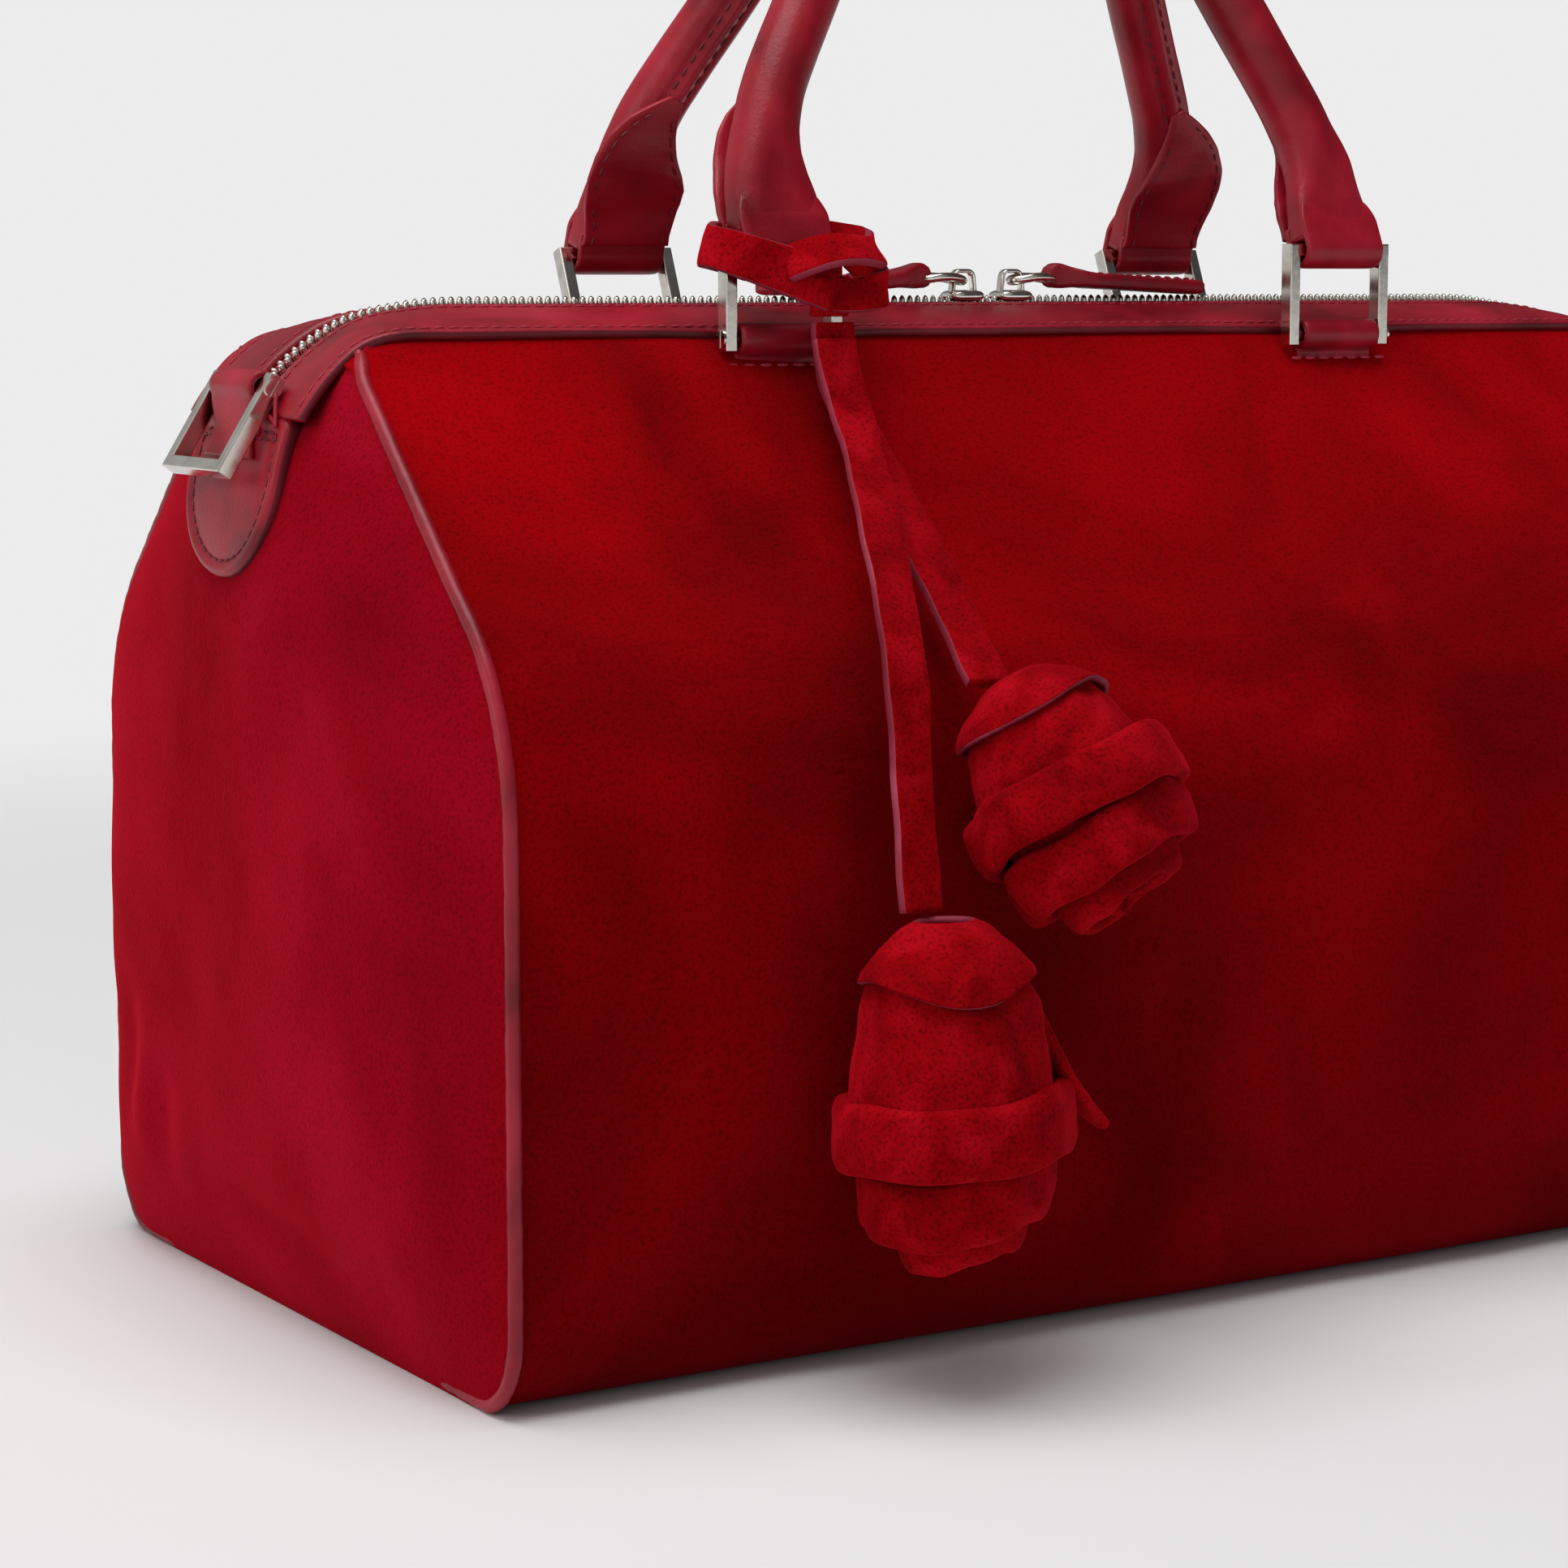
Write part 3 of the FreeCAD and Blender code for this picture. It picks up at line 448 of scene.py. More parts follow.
def riding(name: str, mesh: bpy.types.Mesh, body: str) -> Piece:
    """Put a mesh in the scene as a piece that moves with a body, and report it.

    Args:
        name: the piece's name.
        mesh: its mesh, with its material.
        body: the CAD body that it moves with.

    Returns:
        The new object.
    """
    thing = in_scene(name, mesh)
    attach(thing, body)
    LOG.info("%s: %d faces on %s", name, len(mesh.polygons), body)
    return thing


def build(name: str, points: Array, faces: Sequence[Sequence[int]], finish: Finish, body: str) -> Piece:
    """Make a mesh object with one finish, riding on a body.

    Args:
        name: the piece's name.
        points: its vertices, in the bag's frame.
        faces: vertex numbers of each face.
        finish: what it is made of.
        body: the CAD body that it moves with.

    Returns:
        The new object.
    """
    mesh = bpy.data.meshes.new(name)
    mesh.from_pydata([tuple(p) for p in np.asarray(points, float).reshape(-1, 3)], [], faces)
    mesh.update()
    mesh.shade_smooth()
    mesh.materials.append(finish.material())
    return riding(name, mesh, body)


def grid_faces(rows: int, columns: int, around: bool = False, flip: bool = False) -> list[tuple[int, ...]]:
    """Quads of a grid of points.

    Args:
        rows: how many rows of points.
        columns: how many points in a row.
        around: whether each row closes on itself.
        flip: whether the faces look the other way.

    Returns:
        Vertex numbers of each quad.
    """
    faces = []
    last = columns if around else columns - 1
    for r in range(rows - 1):
        for c in range(last):
            d = (c + 1) % columns
            quad = (r * columns + c, r * columns + d, (r + 1) * columns + d, (r + 1) * columns + c)
            faces.append(quad[::-1] if flip else quad)
    return faces


def capped(rows: int, columns: int, flip: bool = False) -> list[tuple[int, ...]]:
    """Faces of a grid closed around its rows, with its first and last rows filled.

    Args:
        rows: how many rows of points.
        columns: how many points in a row.
        flip: whether the faces look the other way.

    Returns:
        Vertex numbers of each face.
    """
    first = tuple(range(columns))
    last = tuple((rows - 1) * columns + c for c in range(columns))
    faces = grid_faces(rows, columns, True, flip)
    faces.append(first if flip else first[::-1])
    faces.append(last[::-1] if flip else last)
    return faces


def fix_normals(thing: Piece) -> None:
    """Turn a closed mesh's faces outwards, by the sign of its volume."""
    mesh = thing.data
    volume = 0.0
    for face in mesh.polygons:
        a = mesh.vertices[face.vertices[0]].co
        for i in range(1, len(face.vertices) - 1):
            b = mesh.vertices[face.vertices[i]].co
            c = mesh.vertices[face.vertices[i + 1]].co
            volume += a.dot(b.cross(c))
    if volume < 0:
        mesh.flip_normals()


def solid(name: str, rings: Array, finish: Finish, body: str, stands_for: str = "") -> Piece:
    """Make a closed piece from rings of points, its faces outwards.

    Args:
        name: the piece's name.
        rings: points, one row for each ring. The first and last rings are filled.
        finish: what it is made of.
        body: the CAD body that it moves with.
        stands_for: the CAD node that it replaces, if it replaces one.

    Returns:
        The new object.
    """
    thing = build(name, rings, capped(*rings.shape[:2]), finish, body)
    fix_normals(thing)
    if stands_for:
        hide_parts(stands_for)
    return thing


def edge_faces(strip: Piece, finish: Finish, columns: set[int], count: int) -> None:
    """Give the faces between some of a solid's ring points a second finish.

    Args:
        strip: a piece that solid() made.
        finish: the finish of those faces.
        columns: the places in a ring that they lie between.
        count: how many points a ring has.
    """
    strip.data.materials.append(finish.material())
    for face in strip.data.polygons:
        if all(v % count in columns for v in face.vertices):
            face.material_index = 1


def raw_edges(strip: Piece, power: float, count: int, share: float) -> None:
    """Show the suede's pale cut edge on the narrow sides of a flat strip.

    Args:
        strip: a piece that solid() made from superellipse rings.
        power: the squareness of a ring.
        count: how many points a ring has.
        share: how far out a point lies to count as an edge, from 0 to 1.
    """
    outline = superellipse(1.0, 1.0, power, count)
    edge_faces(strip, CUT_EDGE, {i for i in range(count) if abs(outline[i, 0]) > share}, count)


def add_modifier(thing: Piece, kind: str, **settings: Any) -> Any:
    """Add a modifier whose viewport and render levels are the same.

    Args:
        thing: the piece.
        kind: the modifier's type.
        settings: its properties.

    Returns:
        The modifier.
    """
    modifier = thing.modifiers.new(kind.title().replace("_", ""), kind)
    for name, value in settings.items():
        setattr(modifier, name, value)
    if kind == "SUBSURF":
        modifier.render_levels = modifier.levels
    return modifier


def frames_along(path: Array, across: Array) -> tuple[Array, Array, Array]:
    """Directions at each point of a path.

    Args:
        path: points, in order.
        across: a direction, or one for each point, that the first side direction stays near.

    Returns:
        Unit tangents, side directions and upward directions.
    """
    tangent = unit(np.gradient(path, axis=0))
    across = np.broadcast_to(np.asarray(across, float), path.shape)
    side = unit(across - tangent * np.sum(across * tangent, axis=1, keepdims=True))
    return tangent, side, np.cross(tangent, side)


def loft(path: Array, across: Array, section: Callable[[float], Array]) -> Array:
    """Points of a section carried along a path.

    Args:
        path: points of the centre line.
        across: the direction of the section's first axis.
        section: gives the (side, up) outline at a share of the path from 0 to 1.

    Returns:
        Points, one row for each point of the path.
    """
    _, side, up = frames_along(path, across)
    length = run_of(path)
    rows = []
    for i, share in enumerate(length / length[-1]):
        outline = section(float(share))
        rows.append(path[i] + outline[:, :1] * side[i] + outline[:, 1:] * up[i])
    return np.array(rows)


def resample(path: Array, count: int) -> Array:
    """The same path with count points an equal distance apart.

    Args:
        path: its points, in two or three dimensions.
        count: how many points it gets.

    Returns:
        The new points.
    """
    length = run_of(path)
    wanted = np.linspace(0, length[-1], count)
    return np.stack([np.interp(wanted, length, path[:, i]) for i in range(path.shape[1])], axis=1)


def eased(corners: Sequence[Sequence[float]], radii: Sequence[float], step: float = 1.0 * MM) -> Array:
    """A path through corners with each inner corner rounded by an arc.

    Args:
        corners: points in two or three dimensions.
        radii: one radius for each inner corner.
        step: about how far apart the points on an arc are.

    Returns:
        The path's points.
    """
    points = [np.asarray(c, float) for c in corners]
    path = [points[0]]
    for before, corner, after, radius in zip(points, points[1:], points[2:], radii):
        into = unit(corner - before)
        out = unit(after - corner)
        turn = math.acos(float(np.clip(into @ out, -1, 1)))
        if radius <= 0 or turn < 1e-6:
            path.append(corner)
            continue
        reach = radius * math.tan(turn / 2)
        centre = corner + unit(out - into) * radius / math.cos(turn / 2)
        start = corner - into * reach - centre
        quarter = unit(into - start * (into @ start) / (radius * radius)) * radius
        for angle in np.linspace(0, turn, max(3, int(radius * turn / step))):
            path.append(centre + start * math.cos(angle) + quarter * math.sin(angle))
    path.append(points[-1])
    return np.array(path)


def superellipse(half_width: float, half_height: float, power: float, count: int = 40) -> Array:
    """A rounded outline, between an ellipse and a rectangle.

    Args:
        half_width: along its first axis.
        half_height: along its second axis.
        power: 2 gives an ellipse, more gives squarer corners.
        count: how many points it has.

    Returns:
        Its points.
    """
    angle = np.linspace(0, 2 * math.pi, count, endpoint=False)
    cos, sin = np.cos(angle), np.sin(angle)
    x = half_width * np.sign(cos) * np.abs(cos) ** (2 / power)
    y = half_height * np.sign(sin) * np.abs(sin) ** (2 / power)
    return np.stack([x, y], axis=1)


def ripples(points: Array, seed: int, size: float, depth: float, waves: int = 9) -> Array:
    """A smooth, uneven height at each point, like cloth that doesn't lie flat.

    Args:
        points: where.
        seed: which ripples.
        size: about how far apart they are.
        depth: about how deep they are.
        waves: how many waves are added up.

    Returns:
        One height for each point.
    """
    rng = np.random.default_rng(seed)
    total = np.zeros(points.shape[:-1])
    for _ in range(waves):
        direction = unit(rng.normal(size=3))
        pitch = size * rng.uniform(0.6, 1.6)
        total += np.sin(points @ direction * (2 * math.pi / pitch) + rng.uniform(0, 2 * math.pi))
    return total * depth / math.sqrt(waves)


def crease(points: Array, start: Sequence[float], end: Sequence[float], width: float, depth: float) -> Array:
    """A fold that dies out at both ends: a groove with a soft ridge beside it.

    Args:
        points: where to work it out.
        start: one end, in the bag's frame.
        end: the other end.
        width: half the groove's width.
        depth: how deep it is.

    Returns:
        A height for each point, below zero in the groove.
    """
    a, b = np.asarray(start, float), np.asarray(end, float)
    along = (points - a) @ (b - a) / ((b - a) @ (b - a))
    nearest = a + np.clip(along, 0, 1)[..., None] * (b - a)
    away = np.linalg.norm(points - nearest, axis=-1) / width
    fade = np.sin(np.clip(along, 0, 1) * math.pi)
    return -depth * fade * (np.exp(-away**2) - 0.45 * np.exp(-((away - 2.2) ** 2)))


# ---------------- the bag's form


@dataclass
class BagForm:
    """The filled bag's surfaces, which the skin, lining, trim and stitches all follow."""

    wall: float = 2.4 * MM
    teeth_proud: float = 0.6 * MM
    shoulder_z: float = 158 * MM
    shoulder_r: float = 62 * MM
    base_r: float = 20 * MM
    band_half: float = 30 * MM
    band_edge_z: float = 236 * MM
    bend_r: float = 55 * MM         # of the zip's line over each end
    dome_z: float = 135 * MM        # the middle of an end panel's bulge
    front_sag: float = 9 * MM       # of the shoulder, half way along
    back_sag: float = 6 * MM
    seam_x: float = field(init=False)
    half_depth: float = field(init=False)
    zip_z: float = field(init=False)
    end_x: float = field(init=False)

    def __post_init__(self) -> None:
        """Take the overall sizes from the frame and work out the outlines."""
        low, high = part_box("end_panel_left")
        self.seam_x = -high.x + self.wall
        self.half_depth = high.y
        self.end_x = -low.x
        self.zip_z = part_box("zip_teeth_front")[1].z - self.teeth_proud
        corners = [
            (0, self.zip_z),
            (self.band_half, self.band_edge_z),
            (self.half_depth, self.shoulder_z),
            (self.half_depth, 0),
            (0, 0),
        ]
        self.section = resample(eased(corners, [0.0, self.shoulder_r, self.base_r]), 900)
        self.girth = run_of(self.section)
        self.bend_x = self.end_x - self.bend_r
        line = [(0, self.zip_z), (self.end_x, self.zip_z), (self.end_x, 0.19)]
        self.crest_line = resample(eased(line, [self.bend_r]), 600)
        self.crest_length = run_of(self.crest_line)
        ring = self.section - (0, self.dome_z)
        self.ring_angle = np.arctan2(ring[:, 0], ring[:, 1])
        self.ring_radius = np.linalg.norm(ring, axis=1)

    def top_limit(self, x: Array) -> Array:
        """Height of the zip's line over x, lifted out of the way along the flat middle."""
        out = np.abs(x)
        drop = np.sqrt(np.maximum(self.bend_r**2 - np.maximum(out - self.bend_x, 0) ** 2, 1e-9))
        spare = 4 * MM * (1 - smoothstep(out, self.bend_x - 10 * MM, self.bend_x + 12 * MM))
        return self.zip_z - self.bend_r + drop + spare

    def flank(self, x: Array, s: Array, side: Side) -> Array:
        """Points of the skin round the bag.

        Args:
            x: along the bag.
            s: distance round the section, from the zip.
            side: front or back.

        Returns:
            Points, with the slump of the soft sides in them.
        """
        out = np.interp(s, self.girth, self.section[:, 0])
        z = np.interp(s, self.girth, self.section[:, 1])
        middle = 1 - np.abs(x / self.seam_x) ** 2.2
        middle = np.clip(middle, 0, 1) ** 0.8
        upper = smoothstep(z, 0.09, 0.165) * (1 - smoothstep(z, 0.175, 0.232))
        sag = (self.front_sag if side is Side.FRONT else self.back_sag) * middle * upper
        belly = 2.0 * MM * middle * smoothstep(z, 0.012, 0.05) * (1 - smoothstep(z, 0.08, 0.15))
        out = out - 0.75 * sag + belly
        z = soft_min(z - 0.6 * sag, self.top_limit(x), 5 * MM)
        return np.stack([x, side.value * out, z], axis=-1)

    def crest(self, t: Array, y: Array) -> Array:
        """Points of the top, which bends down over both ends.

        Args:
            t: distance along the zip from its middle.
            y: across it.

        Returns:
            The points.
        """
        x = np.sign(t) * np.interp(np.abs(t), self.crest_length, self.crest_line[:, 0])
        line_z = np.interp(np.abs(t), self.crest_length, self.crest_line[:, 1])
        spare = 4 * MM * (1 - smoothstep(np.abs(x), self.bend_x - 10 * MM, self.bend_x + 12 * MM))
        slope = (self.zip_z - self.band_edge_z) / self.band_half
        roof = self.zip_z - slope * (np.sqrt(y**2 + (3 * MM) ** 2) - 3 * MM)
        return np.stack([x, y, soft_min(roof, line_z + spare, 5 * MM)], axis=-1)

    def crest_end(self, z: float) -> float:
        """Distance along the zip at which its line has come down to z."""
        return float(np.interp(-z, -self.crest_line[:, 1], self.crest_length))

    def end(self, y: Array, z: Array, end: End) -> Array:
        """Points of an end panel: a soft dome inside its piped seam.

        Args:
            y: across the bag.
            z: up from the floor.
            end: left or right.

        Returns:
            The points.
        """
        radius = np.hypot(y, z - self.dome_z)
        angle = np.arctan2(np.abs(y), z - self.dome_z)
        rim = np.interp(angle, self.ring_angle, self.ring_radius)
        share = np.clip(radius / rim, 0, 1)
        dome = self.seam_x + (self.end_x - self.seam_x) * (1 - share**3.2)
        above = np.maximum(z - (self.zip_z - self.bend_r), 0)
        line = self.bend_x + np.sqrt(np.maximum(self.bend_r**2 - above**2, 1e-9))
        return np.stack([end.value * soft_min(dome, line, 7 * MM), y, z], axis=-1)

    @staticmethod
    def lifted(
        surface: Callable[[Array, Array], Array], u: Array, v: Array, lift: Array | float, outwards: Array
    ) -> Array:
        """Points a distance above a surface.

        Args:
            surface: the surface, as a function of u and v.
            u: the first coordinate of each point.
            v: the second.
            lift: how far above the surface.
            outwards: roughly which way is out.

        Returns:
            The points.
        """
        e = 0.4 * MM
        across = np.cross(surface(u + e, v) - surface(u - e, v), surface(u, v + e) - surface(u, v - e))
        normal = unit(across)
        facing = np.sign(np.sum(normal * outwards, axis=-1, keepdims=True))
        return surface(u, v) + normal * np.where(facing == 0, 1, facing) * np.asarray(lift)[..., None]

    def on_flank(self, x: Array, s: Array, side: Side, lift: Array | float = 0.0) -> Array:
        """Points above the flank."""
        x, s, lift = np.broadcast_arrays(*np.atleast_1d(x, s, lift))
        return self.lifted(lambda a, b: self.flank(a, b, side), x, s, lift, np.array([0, side.value, 0.3]))

    def on_crest(self, t: Array, y: Array, lift: Array | float = 0.0) -> Array:
        """Points above the top.

        Args:
            t: distance along the zip.
            y: across it.
            lift: how far above.

        Returns:
            The points.
        """
        t, y, lift = np.broadcast_arrays(*np.atleast_1d(t, y, lift))
        out = np.stack([np.sign(t) * smoothstep(np.abs(t), 0.15, 0.2), 0 * t, np.ones_like(t)], axis=-1)
        return self.lifted(self.crest, t, y, lift, out)

    def on_end(self, y: Array, z: Array, end: End, lift: Array | float = 0.0) -> Array:
        """Points above an end panel."""
        y, z, lift = np.broadcast_arrays(*np.atleast_1d(y, z, lift))
        return self.lifted(lambda a, b: self.end(a, b, end), y, z, lift, np.array([end.value, 0, 0.2]))


# ---------------- repeats, by geometry nodes


@dataclass(frozen=True)
class Repeat:
    """A geometry node tree that sets small bars or teeth along a curve, an even pitch apart."""

    name: str

    def tree(self) -> Tree:
        """Build the tree once: sizes in, solid pieces out.

        Returns:
            The node tree.
        """
        found = bpy.data.node_groups.get(self.name)
        if found:
            return found
        tree = bpy.data.node_groups.new(self.name, "GeometryNodeTree")
        tree.interface.new_socket("Geometry", in_out="INPUT", socket_type="NodeSocketGeometry")
        for label, size_mm in (("Pitch", 3.7), ("Width", 0.7), ("Height", 0.6), ("Length", 2.7)):
            item = tree.interface.new_socket(label, in_out="INPUT", socket_type="NodeSocketFloat")
            item.default_value = size_mm * MM
        tree.interface.new_socket("Finish", in_out="INPUT", socket_type="NodeSocketMaterial")
        tree.interface.new_socket("Geometry", in_out="OUTPUT", socket_type="NodeSocketGeometry")
        given = add_node(tree, "NodeGroupInput").outputs
        spacing = {"Curve": given["Geometry"], "Length": given["Pitch"]}
        points = add_node(tree, "GeometryNodeCurveToPoints", spacing, mode="LENGTH")
        bead = add_node(tree, "GeometryNodeMeshUVSphere", {"Segments": 8, "Rings": 6, "Radius": 0.5})
        sizes = {"X": given["Height"], "Y": given["Width"], "Z": given["Length"]}
        size = add_node(tree, "ShaderNodeCombineXYZ", sizes).outputs["Vector"]
        shape = {"Geometry": bead.outputs["Mesh"], "Scale": size}
        setting = {
            "Points": points.outputs["Points"],
            "Instance": add_node(tree, "GeometryNodeTransform", shape).outputs["Geometry"],
            "Rotation": points.outputs["Rotation"],
        }
        placed = add_node(tree, "GeometryNodeInstanceOnPoints", setting)
        real = add_node(tree, "GeometryNodeRealizeInstances", {"Geometry": placed.outputs["Instances"]})
        smooth = add_node(tree, "GeometryNodeSetShadeSmooth", {"Geometry": real.outputs["Geometry"]})
        finished = {"Geometry": smooth.outputs["Geometry"], "Material": given["Finish"]}
        dressed = add_node(tree, "GeometryNodeSetMaterial", finished)
        add_node(tree, "NodeGroupOutput", {"Geometry": dressed.outputs["Geometry"]})
        return tree

    def along(
        self, name: str, paths: Sequence[Array], finish: Finish, body: str, **sizes: float
    ) -> Piece:
        """Set pieces along paths and turn them into one plain mesh.

        Args:
            name: the piece's name.
            paths: the lines to follow.
            finish: what the pieces are made of.
            body: the CAD body that they move with.
            sizes: Pitch, Width, Height or Length, in metres.

        Returns:
            The new object.
        """
        line = bpy.data.curves.new(name + "_line", "CURVE")
        line.dimensions = "3D"
        for path in paths:
            spline = line.splines.new("POLY")
            spline.points.add(len(path) - 1)
            spline.points.foreach_set("co", np.c_[path, np.ones(len(path))].ravel())
        carrier = in_scene(name + "_line", line)
        tree = self.tree()
        modifier = carrier.modifiers.new("Repeat", "NODES")
        modifier.node_group = tree
        for item in tree.interface.items_tree:
            if item.in_out != "INPUT" or item.name == "Geometry":
                continue
            if item.name == "Finish":
                modifier[item.identifier] = finish.material()
            elif item.name in sizes:
                modifier[item.identifier] = sizes[item.name]
        graph = bpy.context.evaluated_depsgraph_get()
        mesh = bpy.data.meshes.new_from_object(carrier.evaluated_get(graph))
        carrier.modifiers.clear()
        bpy.data.objects.remove(carrier)
        mesh.name = name
        return riding(name, mesh, body)


STITCH = Repeat("stitch_row")


# ---------------- the skin


@dataclass
class Skin:
    """The suede panels, their piping and the lining behind them."""

    form: BagForm
    columns: int = 150
    rows: int = 110
    under_band: float = 25 * MM       # the suede runs on under the leather band
    under_base: float = 6 * MM        # and a little way under the bag
    suede_thick: float = 2.2 * MM
    piping_r: float = 1.75 * MM
    lining_depth: float = 3.6 * MM

    # both ends, (y, z), of each crease in an end panel
    END_CREASES = (
        ((0.085, 0.028), (0.070, 0.075)),
        ((0.062, 0.020), (0.050, 0.055)),
        ((-0.05, 0.02), (0.03, 0.026)),
    )

    def worn(self, points: Array, side: Side) -> Array:
        """Add the small unevenness and the creases of a soft side, nothing at its seams.

        Args:
            points: the smooth side.
            side: front or back.

        Returns:
            The worn side's points.
        """
        form = self.form
        height = ripples(points, 11 + side.value, 85 * MM, 0.9 * MM)
        height += ripples(points, 21 + side.value, 30 * MM, 0.22 * MM)
        y = side.value * form.half_depth
        height += crease(points, (0.10, y, 0.030), (0.199, y, 0.037), 4.5 * MM, 1.5 * MM)
        height += crease(points, (0.06, y, 0.052), (0.196, y, 0.060), 7 * MM, 1.1 * MM)
        height += crease(points, (-0.15, y, 0.022), (0.02, y, 0.030), 6 * MM, 0.8 * MM)
        slope = (self.form.band_edge_z - form.shoulder_z) / (form.half_depth - form.band_half)
        for x, run in ((-0.118, -0.012), (-0.056, 0.010), (0.056, -0.010), (0.118, 0.014)):
            top = (x, side.value * 0.036, 0.2305)
            foot = (x + run, side.value * 0.066, 0.2305 - 0.03 * slope)
            height += crease(points, top, foot, 5 * MM, 1.0 * MM)
        inside = 1 - np.abs(points[..., 0] / form.seam_x) ** 12
        ends = np.linspace(0, 1, points.shape[0])[:, None]
        edge = smoothstep(ends, 0.0, 0.06) * (1 - smoothstep(ends, 0.97, 1.0))
        out = np.stack([0 * height, side.value * np.ones_like(height), 0.3 * np.ones_like(height)], axis=-1)
        return points + unit(out) * (height * np.clip(inside, 0, 1) * edge)[..., None]

    def flank(self, side: Side) -> None:
        """One long panel, from under the band to the base seam.

        Args:
            side: front or back.
        """
        form = self.form
        lower = form.section[:, 1] < form.shoulder_z
        base_start = float(np.interp(-1 * MM, -form.section[lower, 1], form.girth[lower]))
        stop = base_start + self.under_base
        half_length = form.seam_x - 0.4 * MM
        x = np.linspace(-half_length, half_length, self.columns)
        s = np.linspace(self.under_band, stop, self.rows)
        grid_s, grid_x = np.meshgrid(s, x, indexing="ij")
        points = self.worn(form.on_flank(grid_x, grid_s, side, -0.1 * MM), side)
        points[..., 2] = np.maximum(points[..., 2], 0.1 * MM)
        faces = grid_faces(*points.shape[:2], flip=side is Side.FRONT)
        panel = build(f"{side}_suede", points, faces, FLANK_SUEDE, "bag")
        add_modifier(panel, "SOLIDIFY", thickness=self.suede_thick, offset=-1.0)
        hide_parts(f"{side}_panel")

    def base(self) -> None:
        """The panel that the bag stands on, flat but for a slight quilting over its board."""
        low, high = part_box("base_panel")
        x = np.linspace(-self.form.seam_x + 1 * MM, self.form.seam_x - 1 * MM, 90)
        y = np.linspace(low.y - 5 * MM, high.y + 5 * MM, 50)
        grid_y, grid_x = np.meshgrid(y, x, indexing="ij")
        points = np.stack([grid_x, grid_y, 0 * grid_x], axis=-1)
        height = np.abs(ripples(points, 5, 40 * MM, 0.35 * MM))
        points[..., 2] = 0.05 * MM + height
        faces = grid_faces(*points.shape[:2], flip=True)
        base = build("base_suede", points, faces, SUEDE, "bag")
        add_modifier(base, "SOLIDIFY", thickness=2.0 * MM, offset=-1.0)
        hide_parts("base_panel")

    def end(self, end: End) -> None:
        """One end panel: rings of points from its piped seam to its middle.

        Args:
            end: left or right.
        """
        form = self.form
        outline = np.concatenate([form.section[::5] * (-1, 1), form.section[::-5][1:]])
        outline = resample(outline, 200)[:-1]
        shares = np.concatenate([np.linspace(1.0, 0.9, 14), np.linspace(0.9, 0.03, 56)[1:]])
        y = outline[None, :, 0] * shares[:, None]
        z = form.dome_z + (outline[None, :, 1] - form.dome_z) * shares[:, None]
        under = smoothstep(z, 0.214, 0.221) * (1 - smoothstep(np.abs(y), 0.026, 0.030))
        points = form.on_end(y, z, end, -3.4 * MM * under - 0.2 * MM)
        height = ripples(points, 31 + end.value, 70 * MM, 1.1 * MM) + ripples(points, 7, 28 * MM, 0.25 * MM)
        for start, stop in self.END_CREASES:
            a = (end.value * form.end_x * 0.95, *start)
            b = (end.value * form.end_x * 0.98, *stop)
            height += crease(points, a, b, 6 * MM, 1.6 * MM)
        fade = (1 - np.clip(shares, 0, 1) ** 10)[:, None] * (1 - under)
        points[..., 0] += end.value * height * fade
        points[..., 2] = np.maximum(points[..., 2], 0.1 * MM)
        rows, columns = points.shape[:2]
        faces = grid_faces(rows, columns, True, flip=end is End.LEFT)
        middle = tuple((rows - 1) * columns + c for c in range(columns))
        faces.append(middle if end is End.RIGHT else middle[::-1])
        panel = build(f"end_suede_{end}", points, faces, END_SUEDE, "bag")
        add_modifier(panel, "SOLIDIFY", thickness=self.suede_thick, offset=-1.0)
        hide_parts(f"end_panel_{end}")

    def lining(self) -> None:
        """A cotton lining, a closed shell a little inside the suede."""
        form = self.form
        x = np.linspace(-form.seam_x + 4 * MM, form.seam_x - 4 * MM, 40)
        s = np.linspace(10 * MM, form.girth[-1] - 1 * MM, 70)
        rows = []
        for side, order in ((Side.FRONT, s), (Side.BACK, s[::-1])):
            grid_s, grid_x = np.meshgrid(order, x, indexing="ij")
            rows.append(form.on_flank(grid_x, grid_s, side, -self.lining_depth))
        points = np.concatenate(rows)
        points[..., 2] = np.maximum(points[..., 2], 3.0 * MM)
        faces = grid_faces(*points.shape[:2], flip=True)
        lining = build("cotton_lining", points, faces, LINING, "bag")
        add_modifier(lining, "SOLIDIFY", thickness=0.7 * MM, offset=-1.0)
        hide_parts("lining")

    def piping(self, side: Side, end: End) -> None:
        """A leather piping along half of an end seam, its flange pinched in beside it.

        Args:
            side: front or back.
            end: left or right.
        """
        form = self.form
        start = float(form.band_half + 1.5 * MM)
        s = np.linspace(start, form.girth[-1] - 74 * MM, 150)
        x = np.full_like(s, end.value * (form.seam_x - 1.0 * MM))
        x -= end.value * 3.4 * MM * (1 - smoothstep(s, start, start + 16 * MM))
        path = form.on_flank(x, s, side, -0.2 * MM)
        path[:, 2] = np.maximum(path[:, 2], self.piping_r + 0.1 * MM)
        path += ripples(path, 40 + end.value + side.value, 20 * MM, 0.10 * MM)[:, None]

        def section(share: float) -> Array:
            """A round cord whose ends taper into the seam."""
            taper = min(1.0, 0.5 + 32 * share, 0.5 + 32 * (1 - share))
            wrinkle = 1 + 0.03 * math.sin(share * 310) + 0.025 * math.sin(share * 133 + 1)
            radius = self.piping_r * taper * wrinkle
            return superellipse(radius, radius, 2.0, 14)

        points = loft(path, (1, 0, 0), section)
        half = f"{side}_{end}"
        solid(f"piping_leather_{half}", points, PIPING_CALF, "bag", f"piping_{half}")

